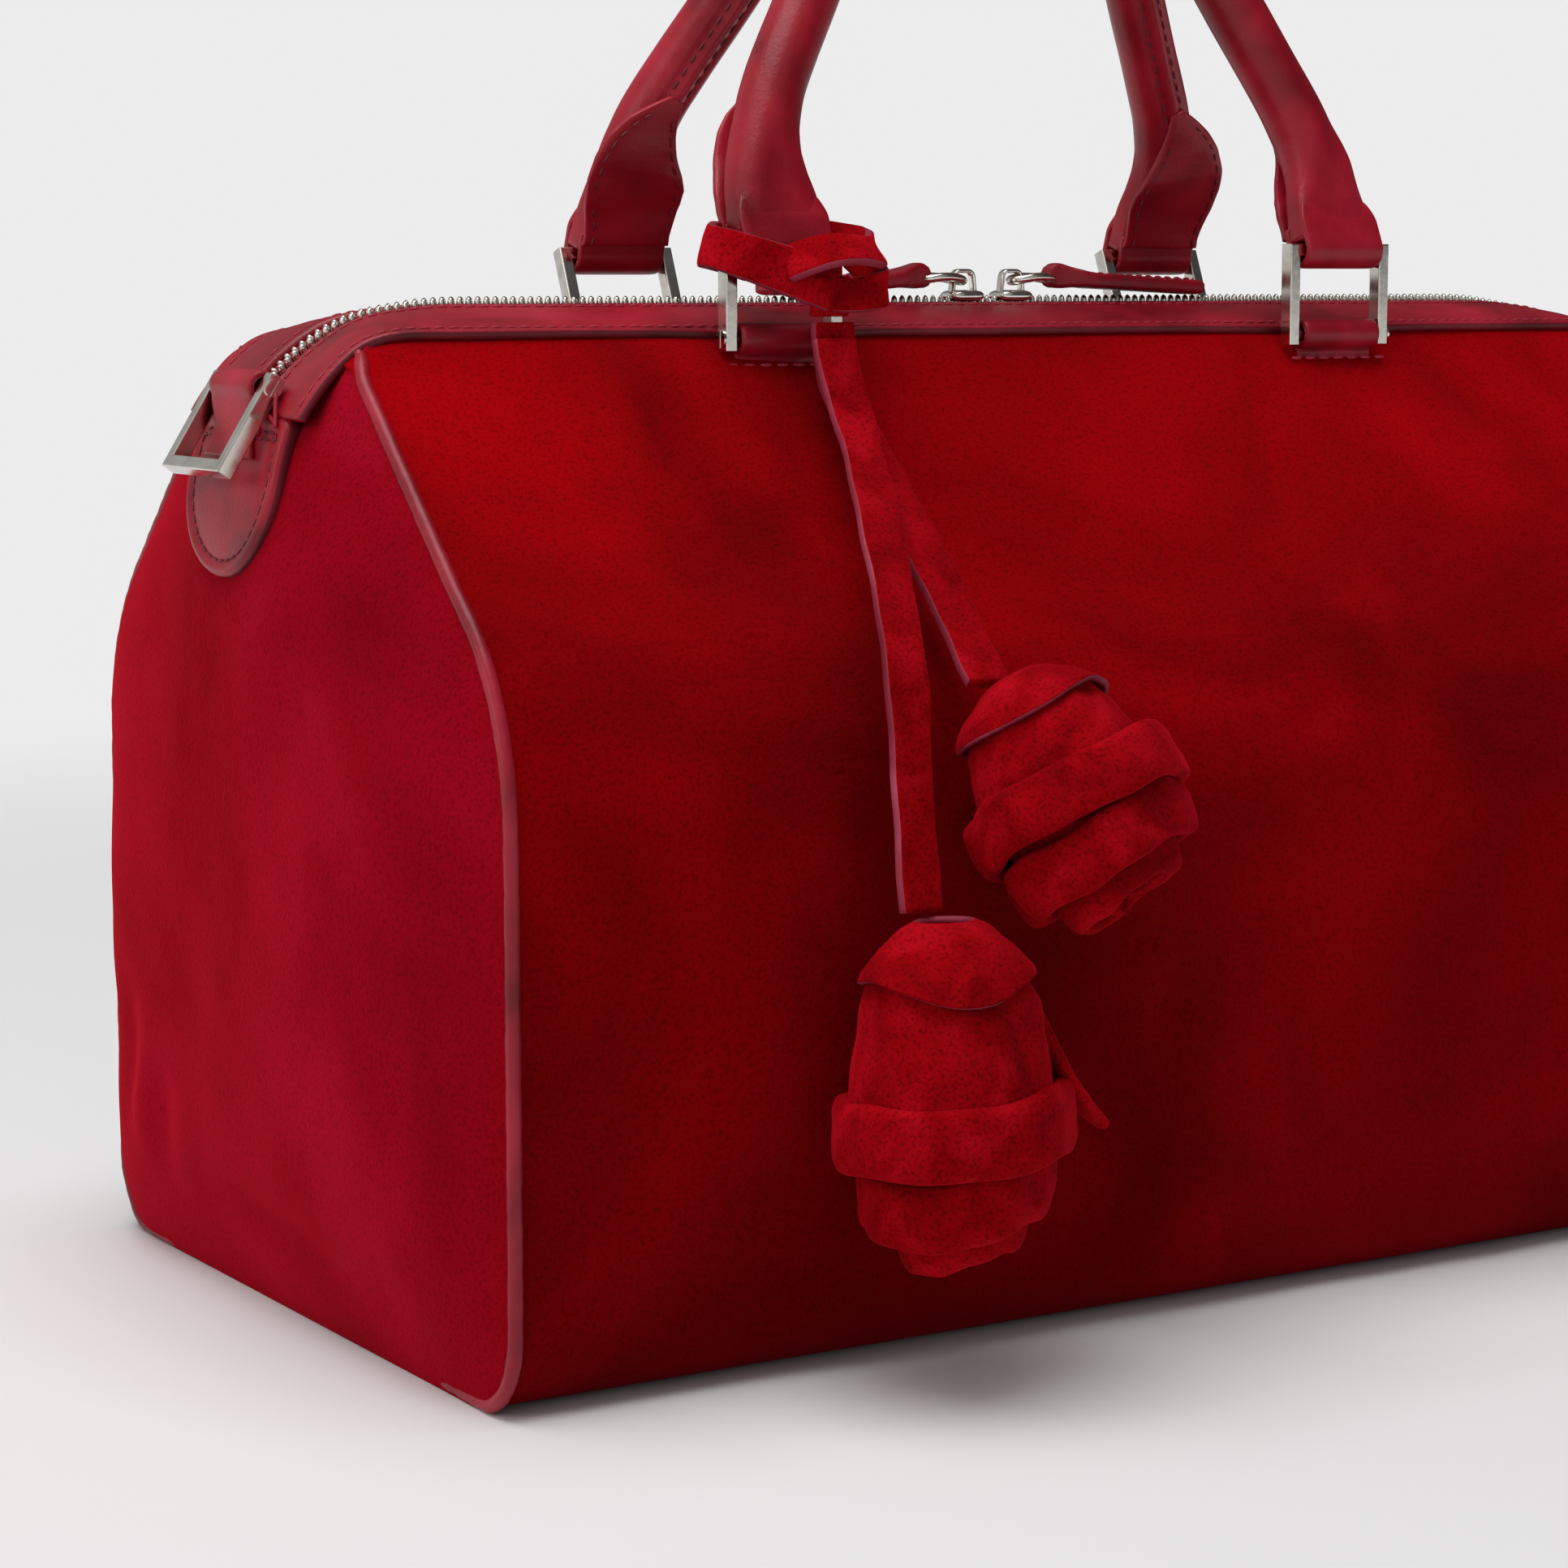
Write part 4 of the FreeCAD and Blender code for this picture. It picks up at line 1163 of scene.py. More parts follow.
    def make(self) -> None:
        """Build every piece of the skin."""
        for side in Side:
            self.flank(side)
        self.base()
        for end in End:
            self.end(end)
            for side in Side:
                self.piping(side, end)
        self.lining()


# ---------------- the zip


@dataclass
class Zip:
    """The leather band, the tape, the teeth and the stitches along the top."""

    form: BagForm
    inner: float = 6.6 * MM          # the band's folded edge beside the teeth
    outer: float = 31.5 * MM
    end_z: float = 217.6 * MM
    pitch: float = 2.4 * MM
    stations: int = 420

    def reach(self) -> float:
        """Distance along the zip from its middle to its end."""
        return self.form.crest_end(self.end_z)

    def band(self, side: Side) -> None:
        """One half of the band: a strip with a folded inner edge and a thick painted outer edge.

        Args:
            side: front or back.
        """
        reach = self.reach()
        t = np.linspace(-reach, reach, self.stations)
        inner, outer = self.inner, self.outer
        leather = [
            (inner, -1.6), (inner - 0.35 * MM, -0.7), (inner, 0.25), (inner + 0.7 * MM, 0.75),
            (inner + 2 * MM, 0.85), (inner + 3.0 * MM, 0.62), (inner + 4.2 * MM, 0.85), (18 * MM, 0.95),
            (outer - 5.0 * MM, 0.9), (outer - 3.8 * MM, 0.62), (outer - 2.6 * MM, 0.95),
            (outer - 1.0 * MM, 1.15),
        ]
        edge = [(outer - 0.2 * MM, 0.9), (outer, 0.1), (outer - 0.1 * MM, -0.9), (outer - 1.5 * MM, -1.3)]
        outline = leather + edge + [(18 * MM, -1.3)]
        dip = 0.9 * MM * np.exp(-(((np.abs(t) - 86 * MM) / (22 * MM)) ** 2))    # pulled in by each ring
        wave = ripples(np.stack([t, 0 * t, 0 * t], axis=-1), 3 + side.value, 60 * MM, 0.25 * MM)
        columns = []
        for y, lift in outline:
            free = smoothstep(np.asarray(y), 22 * MM, outer)
            columns.append(self.form.on_crest(t, side.value * (y + wave * free), lift * MM - dip * free))
        rings = np.stack(columns, axis=1)
        band = solid(f"leather_band_{side}", rings, CALF, "bag", f"zip_band_{side}")
        painted = set(range(len(leather), len(leather) + len(edge)))
        edge_faces(band, EDGE_PAINT, painted, len(outline))
        rows = []
        for y in (inner + 3.0 * MM, outer - 3.8 * MM):
            rows.append(self.form.on_crest(t[4:-4], side.value * y, 0.78 * MM))
        STITCH.along(f"band_stitches_{side}", rows, THREAD, "bag", Pitch=3.7 * MM)

    def tape(self, side: Side) -> None:
        """One half of the zip's tape.

        Args:
            side: front or back.
        """
        reach = self.reach()
        t = np.linspace(-reach, reach, self.stations)
        outline = [(0.5, -1.2), (2.4, -0.9), (3.2, -1.0), (12.0, -1.6), (12.0, -2.3), (0.5, -2.2)]
        columns = [self.form.on_crest(t, side.value * y * MM, lift * MM) for y, lift in outline]
        solid(f"woven_tape_{side}", np.stack(columns, axis=1), TAPE, "bag", f"zip_tape_{side}")
        rows = [self.form.on_crest(t[2:-2], side.value * 4.1 * MM, -0.85 * MM)]
        chain = {"Pitch": 1.6 * MM, "Length": 1.9 * MM, "Width": 1.0 * MM}
        STITCH.along(f"tape_chain_{side}", rows, TAPE, "bag", **chain)

    def teeth(self, side: Side) -> None:
        """One row of teeth, set half a pitch from the other row.

        Args:
            side: front or back.
        """
        reach = self.reach() - 5 * MM
        shift = self.pitch / 4 * side.value
        t = np.linspace(-reach + shift, reach + shift, self.stations)
        row = self.form.on_crest(t, side.value * 0.95 * MM, -0.35 * MM)
        teeth = STITCH.along(
            f"nickel_teeth_{side}", [row], TEETH_NICKEL, "bag",
            Pitch=self.pitch, Length=1.55 * MM, Width=3.4 * MM, Height=2.0 * MM,
        )
        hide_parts(f"zip_teeth_{side}")

    def make(self) -> None:
        """Build the zip."""
        for side in Side:
            self.band(side)
            self.tape(side)
            self.teeth(side)


# ---------------- end tabs and chapes


@dataclass
class EndTab:
    """A leather tab over the end of the zip, with the loop that holds the end's ring."""

    form: BagForm
    end: End
    half: float = 24.5 * MM
    bottom_z: float = 180 * MM
    top_z: float = 217.5 * MM
    painted_rings: int = 4            # the first rings of its mesh, which are its cut edge

    # how far in from the outline, and how high, in millimetres: edge, rim, groove and field
    PROFILE = (
        (0.0, -0.5), (-0.15, 0.6), (0.1, 1.6), (0.8, 2.5), (1.8, 2.75), (2.8, 2.45), (3.4, 2.0),
        (4.0, 1.75), (4.8, 1.95), (6.0, 2.1), (9.0, 2.2),
    )

    def outline(self, inset: float, count: int = 120) -> Array:
        """The tab's outline, moved in.

        Args:
            inset: how far in.
            count: how many points it has.

        Returns:
            Its (y, z) points.
        """
        half = self.half - inset
        centre_z = self.bottom_z + self.half
        top = self.top_z - inset
        corner = 3 * MM
        path = eased(
            [(0, top), (-half, top), (-half, centre_z), (-half, centre_z - half), (0, centre_z - half)],
            [corner, 0.0, half * 0.98],
            0.5 * MM,
        )
        whole = np.concatenate([path, (path * (-1, 1))[::-1][1:]])
        return resample(whole, count + 1)[:-1]

    def tab(self) -> None:
        """The tab itself: a raised rim, a stitched groove and a smooth field."""
        layers = []
        for inset, lift in self.PROFILE:
            outline = self.outline(max(inset, 0) * MM)
            layers.append(self.form.on_end(outline[:, 0], outline[:, 1], self.end, lift * MM))
        field = self.outline(9.0 * MM)
        heart = field.mean(axis=0)
        for share in (0.75, 0.5, 0.25, 0.05):
            outline = heart + (field - heart) * share
            layers.append(self.form.on_end(outline[:, 0], outline[:, 1], self.end, 2.25 * MM))
        under = self.outline(0.3 * MM)
        layers.insert(0, self.form.on_end(under[:, 0], under[:, 1], self.end, -1.2 * MM))
        rings = np.array(layers)
        tab = solid(f"leather_tab_{self.end}", rings, CALF, "bag", f"end_tab_{self.end}")
        tab.data.materials.append(EDGE_PAINT.material())
        for face in tab.data.polygons:
            if max(face.vertices) < self.painted_rings * rings.shape[1]:
                face.material_index = 1
        row = self.outline(3.9 * MM)
        seam = self.form.on_end(row[:, 0], row[:, 1], self.end, 1.95 * MM)
        y = np.linspace(-self.half + 5 * MM, self.half - 5 * MM, 30)
        across = self.form.on_end(y, np.full_like(y, self.top_z - 5.5 * MM), self.end, 2.2 * MM)
        STITCH.along(f"tab_stitches_{self.end}", [seam, across], DARK_THREAD, "bag", Pitch=3.4 * MM)

    def chape(self) -> None:
        """The folded loop round the ring's pin, necking in to a stitched foot on the tab."""
        low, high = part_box(f"end_ring_pin_{self.end}")
        pin = np.array([(low.x + high.x) / 2, 0.0, (low.z + high.z) / 2])
        out = self.end.value
        foot = self.form.on_end(np.array([0.0]), np.array([207.5 * MM]), self.end, 2.6 * MM)[0]
        mid = self.form.on_end(np.array([0.0]), np.array([213.5 * MM]), self.end, 3.3 * MM)[0]
        radius = 3.1 * MM
        angles = np.radians(np.linspace(-35, 215, 18))
        round_pin = [(pin[0] + out * radius * math.cos(a), pin[2] + radius * math.sin(a)) for a in angles]
        path = [(foot[0], foot[2]), (mid[0], mid[2])] + round_pin
        path += [(pin[0] - out * 2.2 * MM, pin[2] - 4.6 * MM), (mid[0] - out * 1.0 * MM, mid[2] - 1.0 * MM)]
        line = resample(np.array(path), 60)
        line = np.stack([line[:, 0], 0 * line[:, 0], line[:, 1]], axis=1)

        def section(share: float) -> Array:
            """A flat strip, narrower where it leaves the pin."""
            neck = 1 - 0.2 * math.exp(-(((share - 0.2) / 0.09) ** 2))
            foot_wide = 1 + 0.12 * (1 - float(smoothstep(np.array(share), 0.0, 0.1)))
            return superellipse(11.6 * MM * neck * foot_wide, 1.0 * MM, 6.0, 28)

        rings = loft(line, (0, 1, 0), section)
        solid(f"leather_chape_{self.end}", rings, CALF, "bag", f"end_chape_{self.end}")

    def thread_loop(self) -> None:
        """The small leather cord that ties the zip's end down beside the tab."""
        side = -self.end.value
        form = self.form
        places = ((-20.5, 214.5, 3.2), (-17.0, 221.0, 4.5), (-10.0, 223.5, 4.0), (-11.0, 218.5, 3.6))
        start, mid, top, back = (
            form.on_end(np.array([y * MM]), np.array([z * MM]), self.end, lift * MM)[0]
            for y, z, lift in places
        )
        tail = start + np.array([side * 0.4, 0.4, 0.6]) * MM
        path = resample(eased([start, mid, top, back, tail], [4 * MM, 3 * MM, 1.2 * MM], 0.4 * MM), 60)
        ring = superellipse(0.55 * MM, 0.55 * MM, 2.0, 10)
        rings = loft(path, (self.end.value, 0.2, 0.3), lambda share: ring)
        solid(f"tie_{self.end}", rings, CALF, "bag")

    def make(self) -> None:
        """Build the tab, its loop and its tie."""
        self.tab()
        self.chape()
        self.thread_loop()


@dataclass
class HandleChape:
    """The leather loop that holds one handle ring's pin against the suede."""

    form: BagForm
    side: Side
    end: End
    half_width: float = 12.2 * MM

    def make(self) -> None:
        """A strip folded round the pin: it comes out from under the band and is stitched below."""
        name = f"{self.side}_{self.end}"
        low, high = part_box(f"ring_pin_{name}")
        pin_y = abs(low.y + high.y) / 2
        pin_z = (low.z + high.z) / 2
        centre_x = (low.x + high.x) / 2
        form = self.form

        def above(s: float, lift: float) -> tuple[float, float]:
            """(out, z) of a point above the flank at this loop."""
            point = form.on_flank(np.array([centre_x]), np.array([s]), self.side, lift)[0]
            return abs(point[1]), point[2]

        under = above(29 * MM, 1.0 * MM)
        rise = above(33.5 * MM, 1.6 * MM)
        foot = above(40.2 * MM, -0.9 * MM)
        radius = 3.0 * MM
        angles = np.radians(np.linspace(150, -95, 16))
        slope = math.atan2(foot[1] - under[1], foot[0] - under[0])
        arc = [(pin_y + radius * math.cos(a + slope), pin_z + radius * math.sin(a + slope)) for a in angles]
        last = above(39.6 * MM, 0.3 * MM)
        line = resample(np.array([under, rise, *arc, last, foot]), 56)
        path = np.stack([np.full(len(line), centre_x), self.side.value * line[:, 0], line[:, 1]], axis=1)

        def section(share: float) -> Array:
            """A flat strip with rounded edges."""
            return superellipse(self.half_width, 1.05 * MM, 7.0, 28)

        rings = loft(path, (1, 0, 0), section)
        solid(f"leather_loop_{name}", rings, CALF, "bag", f"chape_{name}")
        x = np.linspace(centre_x - 14 * MM, centre_x + 14 * MM, 30)
        row = form.on_flank(x, np.full_like(x, 42.4 * MM), self.side, 0.9 * MM)
        row[:, 2] += 0.1 * MM
        bold = {"Pitch": 4.2 * MM, "Width": 0.9 * MM, "Length": 3.4 * MM}
        STITCH.along(f"loop_stitches_{name}", [row], THREAD, "bag", **bold)


# ---------------- handles


@dataclass
class Handle:
    """A rolled leather handle: a filled tube, flat ends folded round the ring bars, and an inner seam."""

    side: Side
    ring_x: float = 86 * MM
    tube_r: float = 7.8 * MM
    knee: tuple[float, float] = (26 * MM, 285 * MM)     # depth and height
    crown_half: float = 45 * MM
    bend_r: tuple[float, float] = (62 * MM, 60 * MM)
    stations: int = 260

    # distance from the ring bar, half width, half thickness, squareness of the section
    STAGES = (
        (2.6, 12.45, 4.2, 8.0), (5.0, 12.4, 4.55, 6.0), (9.0, 12.2, 4.6, 4.5), (14.0, 11.7, 5.0, 3.3),
        (19.0, 10.5, 6.0, 2.6), (25.0, 9.2, 7.2, 2.2), (32.0, 8.3, 7.8, 2.03), (42.0, 7.9, 7.9, 2.0),
        (60.0, 7.8, 7.8, 2.0),
    )
    # an inner flap: distance from the ring bar, half width at the back, at the front, and lean
    FLAP = (
        (4.5, 12.6, 12.6, 0), (7, 12.4, 12.4, 0), (11, 13.0, 12.6, 0), (16, 14.1, 11.8, 0.2),
        (21, 14.3, 9.8, 0.8), (26, 13.0, 8.0, 1.8), (31, 10.6, 6.4, 2.6), (36, 7.6, 4.8, 2.4),
        (41, 4.4, 3.0, 1.4), (45, 2.0, 1.4, 0.4),
    )

    def __post_init__(self) -> None:
        """Lay out the centre line between the two ring bars."""
        low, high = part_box(f"handle_{self.side}")
        joint = next(j for j in frame["joints"] if j["name"] == f"{self.side}_handle_swing")
        _, foot_y, foot_z = joint["pos_m"]
        crown_z = high.z - self.tube_r
        crown_y = high.y - self.tube_r if self.side is Side.FRONT else low.y + self.tube_r
        knee_y, knee_z = self.knee
        half = [
            (-self.ring_x, foot_y, foot_z),
            (-self.ring_x, self.side.value * knee_y, knee_z),
            (-self.crown_half, crown_y, crown_z),
        ]
        corners = half + [(-x, y, z) for x, y, z in half[::-1]]
        radii = [self.bend_r[0], self.bend_r[1], self.bend_r[1], self.bend_r[0]]
        self.line = resample(eased(corners, radii), 700)
        self.length = float(np.sum(np.linalg.norm(np.diff(self.line, axis=0), axis=1)))
        self.body = f"{self.side}_handle"
        flat = unit(np.array(half[1]) - np.array(half[0]))
        self.inward = unit(np.cross(flat, (1.0, 0.0, 0.0)))
        if self.inward[1] * self.side.value > 0:
            self.inward = -self.inward

    def at(self, distance: Array) -> Array:
        """Points on the centre line.

        Args:
            distance: how far from the left ring bar.

        Returns:
            The points.
        """
        wanted = np.asarray(distance, float)
        steps = np.linspace(0, self.length, len(self.line))
        return np.stack([np.interp(wanted, steps, self.line[:, i]) for i in range(3)], axis=-1)

    def shape(self, distance: float) -> tuple[float, float, float]:
        """The section of the tube, the same from either ring bar.

        Args:
            distance: how far from the left ring bar.

        Returns:
            Half width, half thickness and squareness.
        """
        near = min(distance, self.length - distance) / MM
        stage = np.array(self.STAGES)
        width, height, power = (np.interp(near, stage[:, 0], stage[:, i]) for i in (1, 2, 3))
        return width * MM, height * MM, float(power)

    def tube(self) -> None:
        """The tube, which flattens towards both rings and creases where it does."""
        start = 2.6 * MM
        near = np.linspace(start, 60 * MM, 60)
        far = np.linspace(60 * MM, self.length / 2, 70)[1:]
        first = np.concatenate([near, far])
        distance = np.concatenate([first, self.length - first[::-1][1:]])
        path = self.at(distance)
        _, across, up = frames_along(path, np.cross(self.inward, unit(np.gradient(path, axis=0))))
        rows = []
        for i, d in enumerate(distance):
            width, height, power = self.shape(float(d))
            outline = superellipse(width, height, power, 48)
            rows.append(path[i] + outline[:, :1] * across[i] + outline[:, 1:] * up[i])
        points = np.array(rows)
        out = unit(points - path[:, None, :])
        near_end = np.minimum(distance, self.length - distance)[:, None]
        folds = smoothstep(near_end, 4 * MM, 12 * MM) * (1 - smoothstep(near_end, 20 * MM, 40 * MM))
        height = ripples(points * (1.6, 1.0, 0.55), 61, 13 * MM, 0.42 * MM) * folds
        height += ripples(points, 62, 26 * MM, 0.12 * MM)
        around = np.arctan2(np.sum(out * up[:, None, :], axis=2), np.sum(out * across[:, None, :], axis=2))
        inner = np.sign(float(up[len(up) // 2] @ self.inward)) * math.pi / 2
        away = np.abs(np.angle(np.exp(1j * (around - inner))))
        groove = smoothstep(near_end, 30 * MM, 44 * MM)
        ridge = 1.3 * MM * np.exp(-((away / 0.16) ** 2))
        furrows = 0.5 * MM * np.exp(-(((away - 0.42) / 0.1) ** 2))
        height += groove * (ridge - furrows)
        points = points + out * height[..., None]
        solid(f"handle_leather_{self.side}", points, CALF, self.body, f"handle_{self.side}")
        rows = []
        for turn in (-0.34, 0.34):
            steps = np.linspace(44 * MM, self.length - 44 * MM, 260)
            line = self.at(steps)
            tangent = unit(np.gradient(line, axis=0))
            side = np.cross(self.inward, tangent)
            radius = self.tube_r + 0.05 * MM
            rows.append(line + radius * (math.cos(turn) * self.inward + math.sin(turn) * side))
        STITCH.along(f"handle_stitches_{self.side}", rows, DARK_THREAD, self.body, Pitch=3.9 * MM)

    def core(self) -> None:
        """The rope core inside the round part."""
        steps = np.linspace(46 * MM, self.length - 46 * MM, 120)
        ring = superellipse(5.4 * MM, 5.4 * MM, 2.0, 16)
        rings = loft(self.at(steps), self.inward, lambda share: ring)
        solid(f"handle_rope_{self.side}", rings, CORE, self.body, f"handle_core_{self.side}")

    def fold(self, end: End) -> None:
        """A flat end: leather round the ring's bar, open at both sides, and a stitched inner flap.

        Args:
            end: which end of the handle.
        """
        bar = self.at(np.array([0.0 if end is End.LEFT else self.length]))[0]
        up = unit(self.at(np.array([20 * MM if end is End.LEFT else self.length - 20 * MM]))[0] - bar)
        inward = self.inward
        radius = 3.9 * MM
        strip = ((16, 0.6), (11, 3.1), (6, 3.85), (2, 3.9))
        front = [bar - inward * sunk * MM + up * above * MM for above, sunk in strip]
        turns = np.radians(np.linspace(5, -200, 22))
        round_bar = [bar + radius * (-inward * math.cos(a) + up * math.sin(a)) for a in turns]
        back = [bar + inward * 3.2 * MM + up * 7 * MM]
        path = resample(np.array(front + round_bar + back), 64)

        def section(share: float) -> Array:
            """A flat strip that narrows where it sinks into the tube."""
            width = 12.45 * MM * (0.74 + 0.26 * float(smoothstep(np.array(share), 0.0, 0.28)))
            return superellipse(width, 1.0 * MM, 8.0, 32)

        rings = loft(path, (1, 0, 0), section)
        solid(f"handle_fold_{self.side}_{end}", rings, CALF, self.body)
        self.flap(end)

    def flap(self, end: End) -> None:
        """A fold's inner flap and its two rows of stitches.

        Args:
            end: which end of the handle.
        """
        sign = end.value
        inward = self.inward
        # the flap widens above the bar and runs up to a point where the inner seam begins
        heights, wide, narrow, leans = np.array(self.FLAP).T
        widths = wide if self.side is Side.BACK else narrow
        steps = np.linspace(heights[0], heights[-1], 60)
        distance = steps * MM if end is End.LEFT else self.length - steps * MM
        line = self.at(distance)
        rows, edges = [], ([], [])
        for i, (d, step) in enumerate(zip(distance, steps)):
            _, thick, _ = self.shape(float(d))
            width = np.interp(step, heights, widths) * MM
            lean = np.interp(step, heights, leans) * MM * sign
            tangent = unit(line[min(i + 1, len(line) - 1)] - line[max(i - 1, 0)])
            across = unit(np.cross(inward, tangent))
            if across[0] < 0:
                across = -across
            outline = superellipse(width, 1.05 * MM, 5.0, 36)
            curl = 2.6 * MM * (outline[:, 0] / (13 * MM)) ** 2 * float(smoothstep(np.array(step), 22, 40))
            middle = line[i] + inward * (thick + 0.5 * MM) + across * lean
            rows.append(middle + outline[:, :1] * across + (outline[:, 1:] - curl[:, None]) * inward)
            for edge, where in zip(edges, (-1, 1)):
                reach = where * (width - 2.2 * MM)
                bend = 2.6 * MM * (reach / (13 * MM)) ** 2 * float(smoothstep(np.array(step), 22, 40))
                edge.append(middle + across * reach + inward * (1.1 * MM - bend))
        points = np.array(rows)
        points = points + inward * ripples(points, 71 + sign, 16 * MM, 0.25 * MM)[..., None]
        solid(f"handle_flap_{self.side}_{end}", points, CALF, self.body)
        seams = [resample(np.array(edge)[2:50], 50) for edge in edges]
        name = f"flap_stitches_{self.side}_{end}"
        STITCH.along(name, seams, DARK_THREAD, self.body, Pitch=3.6 * MM)

    def make(self) -> None:
        """Build the handle."""
        self.tube()
        self.core()
        for end in End:
            self.fold(end)


# ---------------- the rose charm


def spline_points(route: Sequence[Sequence[float]], resolution: int = 12) -> Array:
    """Lay a smooth line through a route's control points.

    Args:
        route: control points, in metres.
        resolution: points for each control point.

    Returns:
        Points read from the line.
    """
    data = bpy.data.curves.new("route", "CURVE")
    data.dimensions = "3D"
    data.resolution_u = resolution
    spline = data.splines.new("NURBS")
    spline.points.add(len(route) - 1)
    for point, place in zip(spline.points, route):
        point.co = (*place, 1.0)
    spline.order_u = 3
    spline.use_endpoint_u = True
    thing = in_scene("route", data)
    graph = bpy.context.evaluated_depsgraph_get()
    mesh = bpy.data.meshes.new_from_object(thing.evaluated_get(graph))
    points = np.array([tuple(v.co) for v in mesh.vertices])
    bpy.data.meshes.remove(mesh)
    bpy.data.objects.remove(thing)
    return points


@dataclass
class Strap:
    """A flat suede strap: napped on its faces, with pale raw edges."""

    name: str
    body: str
    route: tuple[tuple[float, float, float], ...]      # (x, in front of the middle, z), in millimetres
    width: float = 11 * MM
    thick: float = 2.8 * MM
    twist: float = 0.0                                  # degrees, from top to foot

    def path(self) -> Array:
        """The strap's centre line."""
        return spline_points([(x * MM, -out * MM, z * MM) for x, out, z in self.route])

    def make(self, rose: list[Piece]) -> None:
        """Args:
            rose: the pieces of the rose on its end. Not used.
        """
        path = self.path()
        count = 26

        def section(share: float) -> Array:
            """A flat section that turns a little on its way down."""
            wave = 1 + 0.04 * math.sin(share * 21) + 0.03 * math.sin(share * 47 + 1)
            outline = superellipse(self.width / 2 * wave, self.thick / 2, 7.0, count)
            angle = math.radians(self.twist) * share
            turn = np.array([[math.cos(angle), math.sin(angle)], [-math.sin(angle), math.cos(angle)]])
            return outline @ turn

        rings = loft(resample(path, 130), (1, 0, 0), section)
        strap = solid(f"strap_suede_{self.name}", rings, CHARM_SUEDE, self.body, f"strap_{self.name}")
        raw_edges(strap, 7.0, count, 0.93)


@dataclass(frozen=True)
class Band:
    """One petal's place and winding, in its rose's own frame."""

    middle: float       # how far down its middle is
    height: float
    thick: float
    inner: float        # radius where it starts, and where it ends
    outer: float
    turns: float
    start: float        # radians
    tilt: float         # how far it dips to one side, and towards which angle
    phase: float
    flare: float        # how much wider its lower edge is


